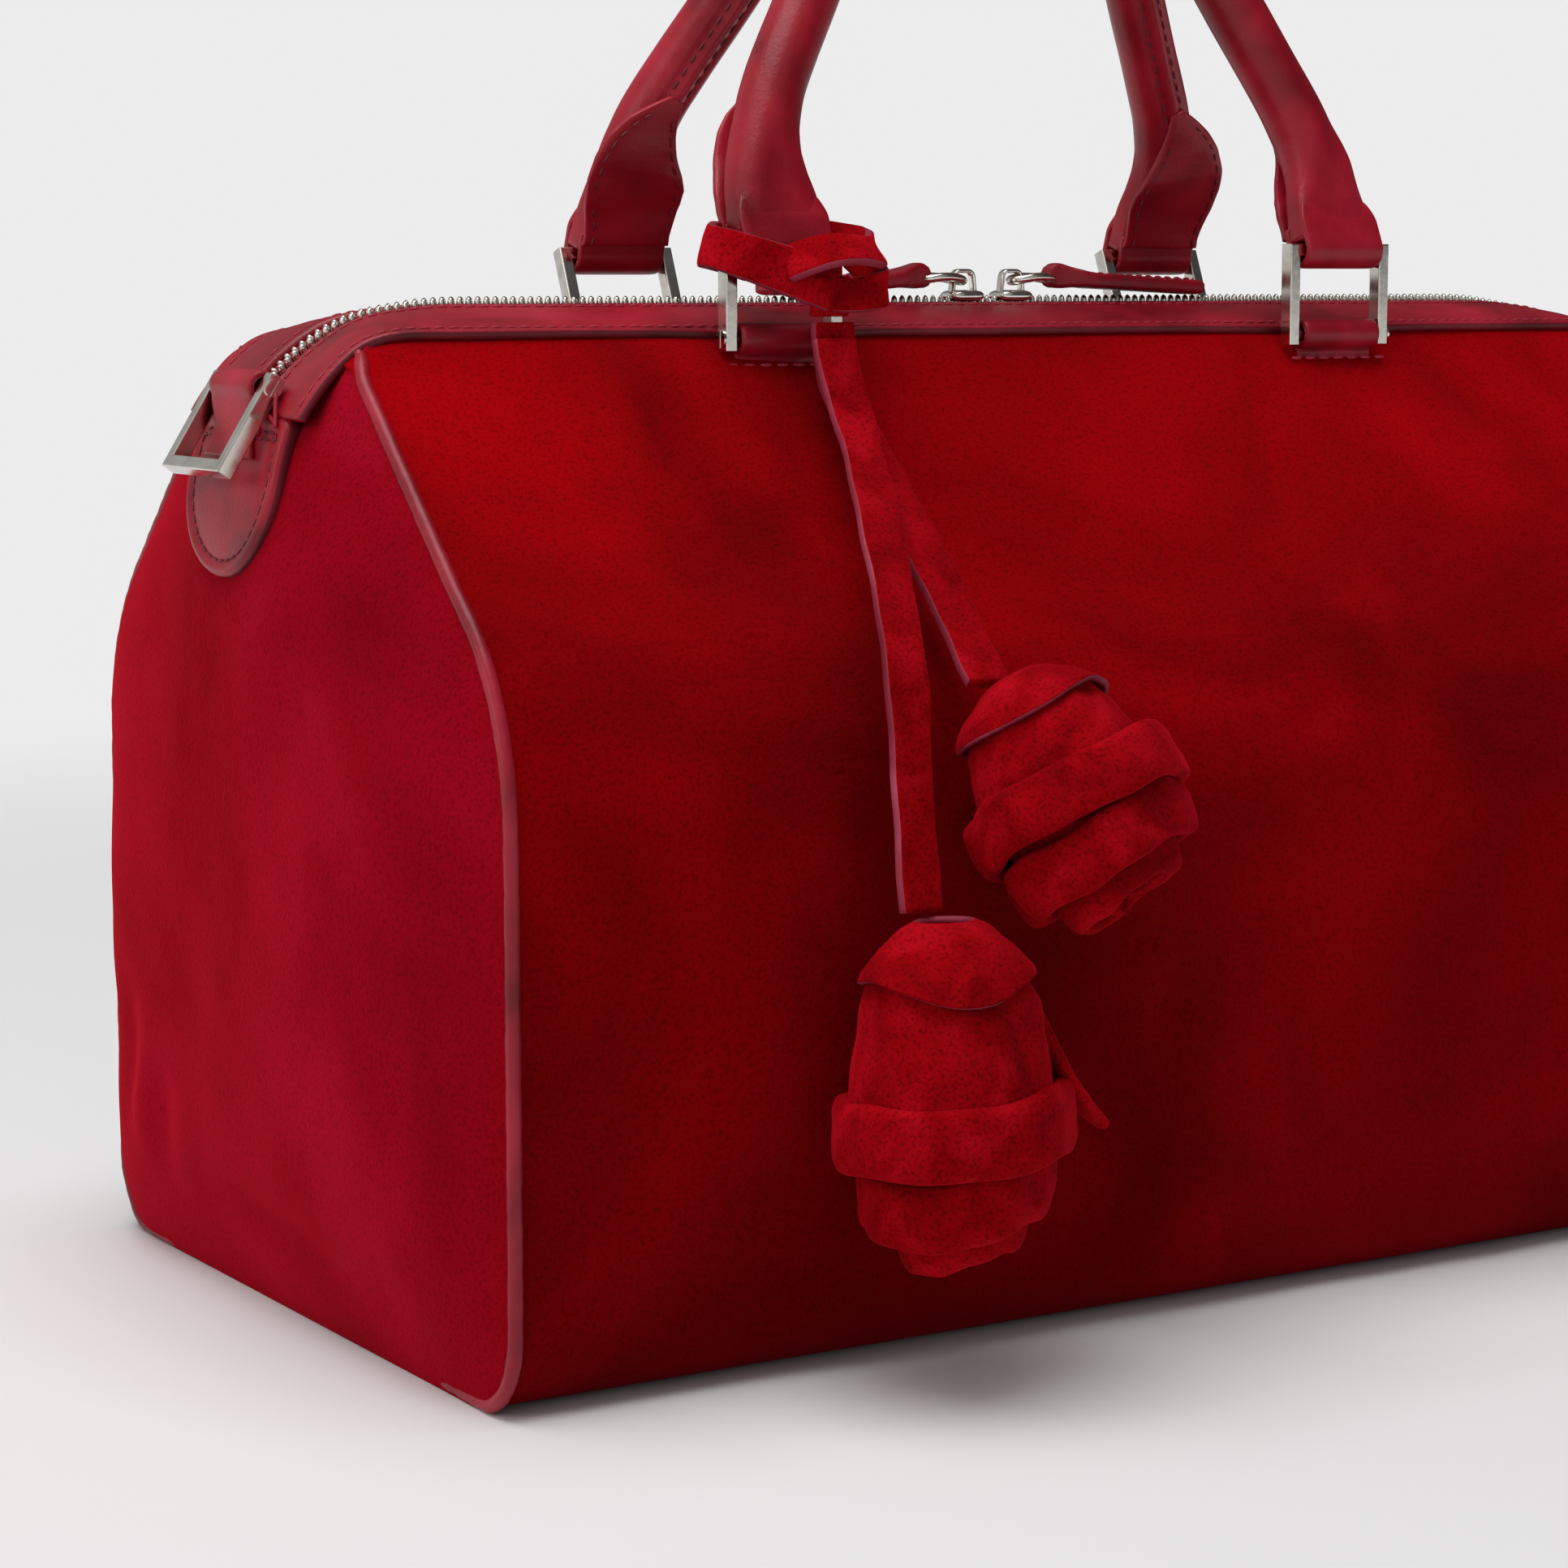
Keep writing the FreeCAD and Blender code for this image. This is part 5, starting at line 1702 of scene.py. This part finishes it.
@dataclass
class Rose:
    """A rose rolled from one long piece of suede, with a cap of suede over its top."""

    name: str
    body: str
    length: float
    bud_r: float
    petal_r: float
    tip_r: float
    petal_z: float          # where the outer petal begins, down from the top
    seed: int
    leaf: bool = False
    top: Vector = field(init=False)
    axis: Vector = field(init=False)

    def __post_init__(self) -> None:
        """Hang the rose where its CAD pieces are."""
        calyx = frame["nodes"][f"rose_{self.name}_calyx"].data
        low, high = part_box(f"rose_{self.name}_petals")
        middle = (np.array(low) + np.array(high)) / 2
        points = np.array([tuple(v.co) for v in calyx.vertices])
        order = np.argsort(np.linalg.norm(points - middle, axis=1))
        top = points[order[-24:]].mean(axis=0)
        self.top = Vector(top)
        self.axis = (Vector(middle) - self.top).normalized()

    def placed(self, points: Array) -> Array:
        """Move points to where the rose hangs.

        Args:
            points: in the rose's own frame, hanging down from the origin.

        Returns:
            The points in the bag's frame.
        """
        down = np.array(self.axis)
        side = unit(np.cross(down, (0.0, 1.0, 0.0)))
        if side[0] < 0:
            side = -side
        front = np.cross(side, down)
        if front[1] > 0:
            front = -front
        x, y, z = points[..., 0:1], points[..., 1:2], points[..., 2:3]
        return np.array(self.top) + x * side - y * front - z * down

    def bud(self) -> Piece:
        """The swollen bud, softly folded, and drawn in under the petals.

        Returns:
            Its object.
        """
        depth = np.linspace(3 * MM, self.length * 0.8, 70)
        turn = np.linspace(0, 2 * math.pi, 72, endpoint=False)
        profile_z = np.array([0.0, 0.06, 0.14, 0.24, 0.38, 0.52, 0.6, 0.72, 0.85]) * self.length
        profile_r = np.array([0.26, 0.45, 0.70, 0.84, 0.95, 1.02, 0.88, 0.78, 0.4]) * self.bud_r
        radius = np.interp(depth, profile_z, profile_r)[:, None] * np.ones_like(turn)[None, :]
        points = np.stack(
            [radius * np.cos(turn), radius * np.sin(turn), -depth[:, None] * np.ones_like(turn)], axis=-1
        )
        out = points * (1, 1, 0)
        height = ripples(points * (1, 1, 0.5), self.seed, 17 * MM, 0.75 * MM)
        height += ripples(points, self.seed + 1, 8 * MM, 0.22 * MM)
        points = points + unit(out) * height[..., None]
        name = f"rose_{self.name}_bud"
        return solid(f"{name}_suede", self.placed(points), CHARM_SUEDE, self.body, name)

    def cap(self) -> Piece:
        """The calyx: a disc of suede folded down over the top, its edge wavy and raw.

        Returns:
            Its object.
        """
        turn = np.linspace(0, 2 * math.pi, 80, endpoint=False)
        shares = np.linspace(0.0, 1.0, 26)
        rows = []
        reach = self.length * (0.185 + 0.022 * np.sin(2 * turn + self.seed) + 0.012 * np.sin(3 * turn + 1))
        for share in shares:
            depth = share * reach
            radius = np.interp(
                depth / self.length, [0, 0.02, 0.08, 0.14, 0.24, 0.32],
                np.array([0.22, 0.36, 0.60, 0.76, 0.88, 0.95]),
            ) * self.bud_r + 1.5 * MM
            rows.append(np.stack([radius * np.cos(turn), radius * np.sin(turn), -depth], axis=-1))
        points = np.array(rows)
        height = ripples(points * (1, 1, 0.4), self.seed + 3, 13 * MM, 0.55 * MM)
        points = points + unit(points * (1, 1, 0) + 1e-9) * height[..., None]
        name = f"rose_{self.name}_calyx"
        placed = self.placed(points)
        faces = grid_faces(*placed.shape[:2], True)
        cap = build(f"{name}_suede", placed, faces, CHARM_SUEDE, self.body)
        inside = self.top + self.axis * self.length / 3
        if sum(f.normal.dot(f.center - inside) for f in cap.data.polygons) < 0:
            cap.data.flip_normals()
        cap.data.materials.append(CUT_EDGE.material())
        add_modifier(cap, "SOLIDIFY", thickness=1.5 * MM, offset=-1.0, material_offset_rim=1)
        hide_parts(name)
        return cap

    def petal(self, number: int, band: Band) -> Piece:
        """One rolled petal: a thick soft band wound round the axis.

        Args:
            number: the petal's number.
            band: its place, size and winding.

        Returns:
            The petal's object.
        """
        turn = np.linspace(band.start, band.start + band.turns * 2 * math.pi, int(110 * band.turns))
        share = np.linspace(0, 1, len(turn))
        radius = band.inner + (band.outer - band.inner) * share
        radius = radius * (1 + 0.03 * np.sin(2 * turn + number) + 0.02 * np.sin(5 * turn + 2 * number))
        middle = band.middle + band.tilt * np.cos(turn - band.phase)
        middle = middle + 0.5 * MM * np.sin(3 * turn + number) + 0.25 * MM * np.sin(7 * turn)
        rows = []
        for i, angle in enumerate(turn):
            end = float(smoothstep(np.array(min(share[i], 1 - share[i])), -0.02, 0.06))
            thick, height = band.thick / 2 * (0.6 + 0.4 * end), band.height / 2 * (0.72 + 0.28 * end)
            outline = superellipse(thick, height, 2.9, 32)
            lean = band.flare * outline[:, 1]
            reach = radius[i] + outline[:, 0] - lean
            down = middle[i] - outline[:, 1]
            rows.append(np.stack([reach * math.cos(angle), reach * math.sin(angle), -down], axis=1))
        points = np.array(rows)
        out = unit(points * (1, 1, 0) + 1e-9)
        soft = ripples(points * (1, 1, 0.6), self.seed + 10 + number, 15 * MM, 0.5 * MM)
        soft += ripples(points, self.seed + 20 + number, 6 * MM, 0.16 * MM)
        placed = self.placed(points + out * soft[..., None])
        return solid(f"rose_{self.name}_petal_{number}", placed, CHARM_SUEDE, self.body)

    def bands(self) -> list[Band]:
        """The petals from the outermost and highest to the heart.

        Returns:
            One band for each petal.
        """
        rest = self.length - self.petal_z
        first = second = 0.40 * rest
        petal_r, tip_r = self.petal_r, self.tip_r
        return [
            Band(
                self.petal_z + first / 2, first, 5.6 * MM, petal_r - 4.4 * MM, petal_r - 2.6 * MM,
                turns=1.15, start=-0.05, tilt=1.0 * MM, phase=3.0, flare=0.06,
            ),
            Band(
                self.petal_z + first * 0.95 + second / 2, second, 5.2 * MM,
                tip_r - 6.0 * MM, tip_r - 3.6 * MM,
                turns=1.2, start=1.35, tilt=2.6 * MM, phase=3.3, flare=-0.10,
            ),
            Band(
                self.length - 0.26 * rest, 0.46 * rest, 4.6 * MM, 0.40 * tip_r, 0.62 * tip_r,
                turns=1.5, start=5.2, tilt=2.2 * MM, phase=2.7, flare=-0.16,
            ),
            Band(
                self.length - 0.24 * rest, 0.42 * rest, 4.0 * MM, 0.10 * tip_r, 0.26 * tip_r,
                turns=1.3, start=4.0, tilt=0.8 * MM, phase=1.2, flare=-0.1,
            ),
        ]

    def make(self) -> list[Piece]:
        """Build the rose.

        Returns:
            Its pieces.
        """
        pieces = [self.bud(), self.cap()]
        petals = [self.petal(number, band) for number, band in enumerate(self.bands(), 1)]
        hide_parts(f"rose_{self.name}_petals")
        pieces.extend(petals)
        if self.leaf:
            pieces.append(self.make_leaf())
        return pieces

    def make_leaf(self) -> Piece:
        """The end of the rolled strip: a narrow tongue that hangs behind the bud and curls out.

        Returns:
            Its object.
        """
        path = [(17.0, -7, -20), (20.5, -8, -28), (24.5, -9, -37), (29.5, -9, -44), (33.0, -8, -47.5)]
        line = resample(np.array(path) * MM, 40)

        def section(share: float) -> Array:
            """A soft strip that widens towards its tip."""
            return superellipse(3.6 * MM + 2 * MM * share, 1.7 * MM, 3.0, 24)

        rings = loft(line, (0.2, 1.0, 0.1), section)
        return solid("rose_leaf_suede", self.placed(rings), CHARM_SUEDE, self.body)


@dataclass
class Bow:
    """The suede tie round the foot of the front handle, which the straps hang from."""

    tail: float = 8.0 * MM        # the straps' doubled end, up into the tie

    # each ribbon: (x, in front of the middle, z) in millimetres, and the way its width faces
    LEFT = (
        (-88, 26, 255), (-98, 27, 257.5), (-104.5, 32.5, 257.5), (-103.5, 41.5, 256), (-93, 45.5, 252.5),
        (-84.5, 48, 249.5), (-79, 50, 247.5),
    )
    ARCH = (
        (-80, 27, 259), (-72, 29, 260.5), (-65.5, 36, 258.5), (-65, 46, 256), (-69, 53.5, 255.5),
        (-77, 56.5, 256.5), (-84.5, 53, 256), (-89, 46.5, 253),
    )
    RETURN = ((-65.8, 38, 255), (-64.5, 47, 250.5), (-66.5, 53, 247), (-72, 53.5, 245.5), (-78.5, 48.0, 245))

    def ribbon(self, name: str, route: Sequence[Sequence[float]], width: float, face: Sequence[float],
               body: str = "front_handle") -> None:
        """One turn of the tie.

        Args:
            name: the piece's name.
            route: its control points.
            width: across its face.
            face: the direction that its width follows.
            body: the body that it rides on.
        """
        path = resample(spline_points([(x * MM, -out * MM, z * MM) for x, out, z in route]), 70)
        count = 26

        def section(share: float) -> Array:
            """A flat band, softly uneven in width."""
            wave = 1 + 0.10 * math.sin(share * 6.5 + len(name))
            return superellipse(width / 2 * wave, 1.45 * MM, 5.0, count)

        points = loft(path, face, section)
        points = points + ripples(points, 91, 14 * MM, 0.35 * MM)[..., None] * np.array([0.3, -1.0, 0.4])
        band = solid(name, points, CHARM_SUEDE, body, "charm_knot" if name == "bow_left" else "")
        raw_edges(band, 5.0, count, 0.95)

    def make(self) -> None:
        """Build the tie, and the bight that the straps come out of."""
        self.ribbon("bow_left", self.LEFT, 11.5 * MM, (0.35, 0.1, 1.0))
        self.ribbon("bow_arch", self.ARCH, 9.5 * MM, (0.1, 0.9, 0.75))
        self.ribbon("bow_return", self.RETURN, 8.0 * MM, (0.2, 0.2, 1.0), "charm_top")
        low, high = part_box("charm_bight")
        centre = (low + high) / 2
        rings = []
        top = high.z + self.tail
        levels = ((low.z, 0.9), (low.z + 0.4 * MM, 1.0), (high.z, 1.03), (top - 1 * MM, 1.05), (top, 0.95))
        for z, grow in levels:
            outline = superellipse((high.x - low.x) / 2 * grow, (high.y - low.y) / 2 * grow, 5.0, 28)
            lean = (z - low.z) * 0.12
            rings.append(np.c_[outline + (centre.x, centre.y - lean), np.full(28, z)])
        solid("bight_suede", np.array(rings), CHARM_SUEDE, "charm_top", "charm_bight")


@dataclass
class Charm:
    """Both straps with their roses, and the tie that holds them."""

    SHORT = (
        (-78.0, 48.2, 239.0), (-78.0, 48.7, 229.5), (-77.8, 55.0, 217.5), (-77.6, 70.5, 202.5),
        (-77.8, 86.0, 188.6), (-78.6, 102.5, 172.4), (-80.0, 118.0, 157.8),
    )
    LONG = (
        (-80.0, 52.0, 235.0), (-80.0, 52.8, 230.0), (-80.8, 61.0, 217.8), (-84.5, 74.0, 205.2),
        (-90.5, 89.6, 191.2), (-96.8, 105.0, 175.5), (-102.2, 118.5, 158.5), (-105.0, 124.0, 139.5),
        (-106.0, 128.0, 122.5), (-106.4, 130.5, 109.0),
    )

    def make(self) -> None:
        """Build the charm."""
        short = Rose("short", "short_rose", 59 * MM, 21.5 * MM, 27 * MM, 24.5 * MM, 25 * MM, 101)
        long = Rose("long", "long_rose", 78 * MM, 23 * MM, 28 * MM, 23.5 * MM, 38 * MM, 131, True)
        Strap("short", "short_rose", self.SHORT).make(short.make())
        Strap("long", "long_rose", self.LONG, twist=-8).make(long.make())
        Bow().make()


# ---------------- pulls


@dataclass
class Pull:
    """A zip pull: a leather strip folded round its link, flat and stitched beyond the fold."""

    form: BagForm
    end: End
    width: float = 12 * MM

    # (distance from the link, size) in millimetres: the hump, the waist and the tongue
    HALF_WIDTHS = ((0, 2.2), (1, 2.4), (3, 2.5), (6, 3.4), (9, 5.3), (13, 5.9), (45, 6.0), (48.4, 5.7))
    HALF_THICKS = (
        (0, 1.4), (0.6, 2.5), (2, 3.2), (4, 3.3), (7, 2.7), (11, 2.2), (16, 2.05), (47.5, 1.95), (48.4, 1.5),
    )
    RISES = ((0, 0.8), (3, 1.3), (8, 0.9), (14, 0.45), (46, 0.3))

    def make(self) -> None:
        """A hump over the link, a waist, and a square-ended tongue with rounded corners."""
        low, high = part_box(f"pull_tab_{self.end}")
        out = self.end.value
        near = high.x if self.end is End.LEFT else low.x
        far = low.x if self.end is End.LEFT else high.x
        drop = (high.z - low.z) - 3.6 * MM
        top = high.z
        steps = np.linspace(0, 1, 80)
        x = near + (far - near) * steps
        along = np.abs(x - near)
        middle = top - 1.9 * MM - max(drop, 0) * steps
        rows = []
        for i, reach in enumerate(along):
            mm = reach / MM
            half_width, half_thick, rise = (
                np.interp(mm, *zip(*table)) * MM for table in (self.HALF_WIDTHS, self.HALF_THICKS, self.RISES)
            )
            outline = superellipse(half_width, half_thick, 5.0, 36)
            height = middle[i] + rise + outline[:, 1]
            rows.append(np.stack([np.full(36, x[i]), outline[:, 0], height], axis=1))
        body = f"{self.end}_pull"
        solid(f"pull_leather_{self.end}", np.array(rows), CALF, body, f"pull_tab_{self.end}")
        inset = 2.0 * MM
        start, stop = near + out * 15 * MM, far - out * inset
        half = self.width / 2 - inset
        corners = [(start, -half), (stop, -half), (stop, half), (start, half)]
        loop = eased(corners, [1.5 * MM, 1.5 * MM], 0.3 * MM)
        share = np.abs(loop[:, 0] - near) / abs(far - near)
        z = top - 1.9 * MM - max(drop, 0) * share + 2.4 * MM
        fine = {"Pitch": 3.1 * MM, "Length": 2.2 * MM}
        STITCH.along(f"pull_stitches_{self.end}", [np.c_[loop, z]], THREAD, body, **fine)
        self.link()
        self.slider()

    def link(self) -> None:
        """The bail between slider and leather: a fat oval ring of round bar, slightly arched."""
        low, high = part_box(f"pull_link_{self.end}")
        centre = (low + high) / 2
        bar = 1.15 * MM
        length, width = (high.x - low.x) / 2 - bar, (high.y - low.y) / 2 - 0.6 * MM
        loop = superellipse(length, width, 2.3, 72)
        loop = np.concatenate([loop, loop[:1]])
        arch = 0.9 * MM * (1 - (loop[:, 0] / length) ** 2)
        slope = (high.z - low.z - 2 * bar) * 0.5 * loop[:, 0] / length * -self.end.value
        height = centre.z + arch + np.maximum(slope, -bar)
        path = np.stack([centre.x + loop[:, 0], centre.y + loop[:, 1], height], axis=1)
        ring = superellipse(bar, bar, 2.0, 16)
        rings = loft(path, (0, 0, 1), lambda share: ring)
        word = str(self.end)
        solid(f"bail_{word}", rings, NICKEL, f"{word}_pull", f"pull_link_{word}")

    def slider(self) -> None:
        """The zip slider: a rounded plate over the teeth, with a bridge that the bail passes under."""
        low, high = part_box(f"zip_slider_{self.end}")
        centre = (low + high) / 2
        x = np.linspace(low.x, high.x, 28)
        rows = []
        for place in x:
            share = abs(place - centre.x) / ((high.x - low.x) / 2)
            round_end = math.sqrt(max(1 - share ** 4, 0.02))
            half_y = (high.y - low.y) / 2 * (0.55 + 0.45 * round_end)
            outline = superellipse(half_y, 1.5 * MM * round_end, 4.0, 32)
            height = low.z + 2.0 * MM + outline[:, 1]
            rows.append(np.stack([np.full(32, place), outline[:, 0], height], axis=1))
        word = str(self.end)
        solid(f"slider_plate_{word}", np.array(rows), NICKEL, f"{word}_slider", f"zip_slider_{word}")
        base = low.z + 2.8 * MM
        peak = high.z - 0.5 * MM
        reach = 3.4 * MM
        corners = [(-reach, base), (-reach * 0.8, peak), (reach * 0.8, peak), (reach, base)]
        path = resample(eased(corners, [1.6 * MM, 1.6 * MM], 0.2 * MM), 40)
        path = np.stack([centre.x + path[:, 0], np.zeros(len(path)), path[:, 1]], axis=1)
        rings = loft(path, (0, 1, 0), lambda share: superellipse(1.3 * MM, 0.55 * MM, 3.0, 20))
        solid(f"slider_bridge_{word}", rings, NICKEL, f"{word}_slider")


# ---------------- studio


@dataclass(frozen=True)
class Studio:
    """A pale floor, a big soft light above and behind, and the camera."""

    backdrop: str = "ececec"
    eye: tuple[float, float, float] = (-0.5853, -0.8508, 0.2498)
    yaw: float = 31.59          # degrees from straight at the front
    pitch: float = 7.37         # degrees below the horizon
    lens: float = 89.96
    sensor: float = 36.0

    def camera(self) -> None:
        """Put the camera where it looks up the bag's left front corner."""
        data = bpy.data.cameras.new("camera")
        data.lens = self.lens
        data.sensor_width = self.sensor
        data.clip_start = 0.01
        thing = in_scene("camera", data)
        thing.location = self.eye
        thing.rotation_euler = (math.radians(90 - self.pitch), 0.0, math.radians(-self.yaw))
        bpy.context.scene.camera = thing

    def area(
        self, name: str, place: Sequence[float], size: float, power: float, aim: Sequence[float]
    ) -> None:
        """Add one soft square light.

        Args:
            name: its name.
            place: where it is.
            size: the length of its side.
            power: in watts.
            aim: the point that it faces.
        """
        data = bpy.data.lights.new(name, "AREA")
        data.shape = "SQUARE"
        data.size = size
        data.energy = power
        thing = in_scene(name, data)
        thing.location = place
        away = Vector(place) - Vector(aim)
        thing.rotation_euler = away.to_track_quat("Z", "Y").to_euler()

    def world(self) -> None:
        """Pale where the camera sees it, and dimmer where it lights the bag."""
        world = bpy.data.worlds.new("studio")
        bpy.context.scene.world = world
        world.use_nodes = True
        tree = world.node_tree
        tree.nodes.clear()
        seen = add_node(tree, "ShaderNodeBackground", {"Color": linear(self.backdrop), "Strength": 1.0})
        towards = add_node(tree, "ShaderNodeTexCoord").outputs["Generated"]
        split = add_node(tree, "ShaderNodeSeparateXYZ", {0: towards})
        east = split.outputs["X"]
        span = {"Value": east, "From Min": -0.7, "From Max": 0.75, "To Min": 0.52, "To Max": 0.05}
        glow = add_node(tree, "ShaderNodeMapRange", span, interpolation_type="SMOOTHSTEP").outputs["Result"]
        lit = add_node(tree, "ShaderNodeBackground", {"Color": linear("ffffff"), "Strength": glow})
        ray = add_node(tree, "ShaderNodeLightPath")
        choice = {0: ray.outputs["Is Camera Ray"], 1: lit.outputs[0], 2: seen.outputs[0]}
        both = add_node(tree, "ShaderNodeMixShader", choice)
        add_node(tree, "ShaderNodeOutputWorld", {"Surface": both.outputs[0]})

    def floor(self) -> None:
        """A wide floor that fades into the backdrop away from the bag."""
        mesh = bpy.data.meshes.new("floor")
        far = 40.0
        corners = [(-far, -far, 0), (far, -far, 0), (far, far, 0), (-far, far, 0)]
        mesh.from_pydata(corners, [], [(0, 1, 2, 3)])
        floor = in_scene("floor", mesh)
        material = bpy.data.materials.new("studio_paper")
        material.use_nodes = True
        tree = material.node_tree
        tree.nodes.clear()
        place = add_node(tree, "ShaderNodeTexCoord").outputs["Object"]
        distance = add_node(tree, "ShaderNodeVectorMath", {0: place}, operation="LENGTH").outputs["Value"]
        reach = {"Value": distance, "From Min": 0.42, "From Max": 1.3}
        fade = add_node(tree, "ShaderNodeMapRange", reach, interpolation_type="SMOOTHSTEP")
        paper = add_node(tree, "ShaderNodeBsdfDiffuse", {"Color": linear("e8e8e8")})
        glow = add_node(tree, "ShaderNodeEmission", {"Color": linear(self.backdrop), "Strength": 1.0})
        choice = {0: fade.outputs["Result"], 1: paper.outputs[0], 2: glow.outputs[0]}
        both = add_node(tree, "ShaderNodeMixShader", choice)
        add_node(tree, "ShaderNodeOutputMaterial", {"Surface": both.outputs[0]})
        mesh.materials.append(material)

    def make(self) -> None:
        """Set up the whole studio."""
        bpy.context.scene.view_settings.view_transform = "Standard"
        self.camera()
        self.world()
        self.floor()
        self.area("key", (-0.35, -0.12, 2.2), 1.7, 37.0, (0, 0, 0.1))
        self.area("left", (-2.2, -0.1, 1.0), 1.2, 8.0, (-0.2, 0, 0.15))
        self.area("front", (0.4, -2.2, 1.4), 1.5, 1.0, (0, 0, 0.15))


# ---------------- finishing the CAD nodes


def dress_nodes() -> None:
    """Give each CAD node that stays in view its finish."""
    finishes = {"nickel": NICKEL, "board": BOARD, "cord_core": CORE, "lining_cloth": LINING, "zip_tape": TAPE,
                "calf_leather": CALF, "suede": SUEDE}
    slot_of = {part["node"]: part["material_slot"] for part in frame["record"]["subparts"]}
    for name, node in frame["nodes"].items():
        finish = PIPING_CALF if name == "piping_cords" else finishes[slot_of[name]]
        material = finish.material()
        node.data.materials.clear()
        node.data.materials.append(material)


def main() -> None:
    """Build the studio and every piece, in order."""
    logging.basicConfig(level=logging.INFO, format="%(message)s")
    Studio().make()
    dress_nodes()
    form = BagForm()
    Skin(form).make()
    Zip(form).make()
    for end in End:
        EndTab(form, end).make()
        for side in Side:
            HandleChape(form, side, end).make()
        Pull(form, end).make()
    for side, knee in ((Side.FRONT, 26 * MM), (Side.BACK, 36 * MM)):
        Handle(side, knee=(knee, 285 * MM)).make()
    Charm().make()


if __name__ == "__main__":
    main()
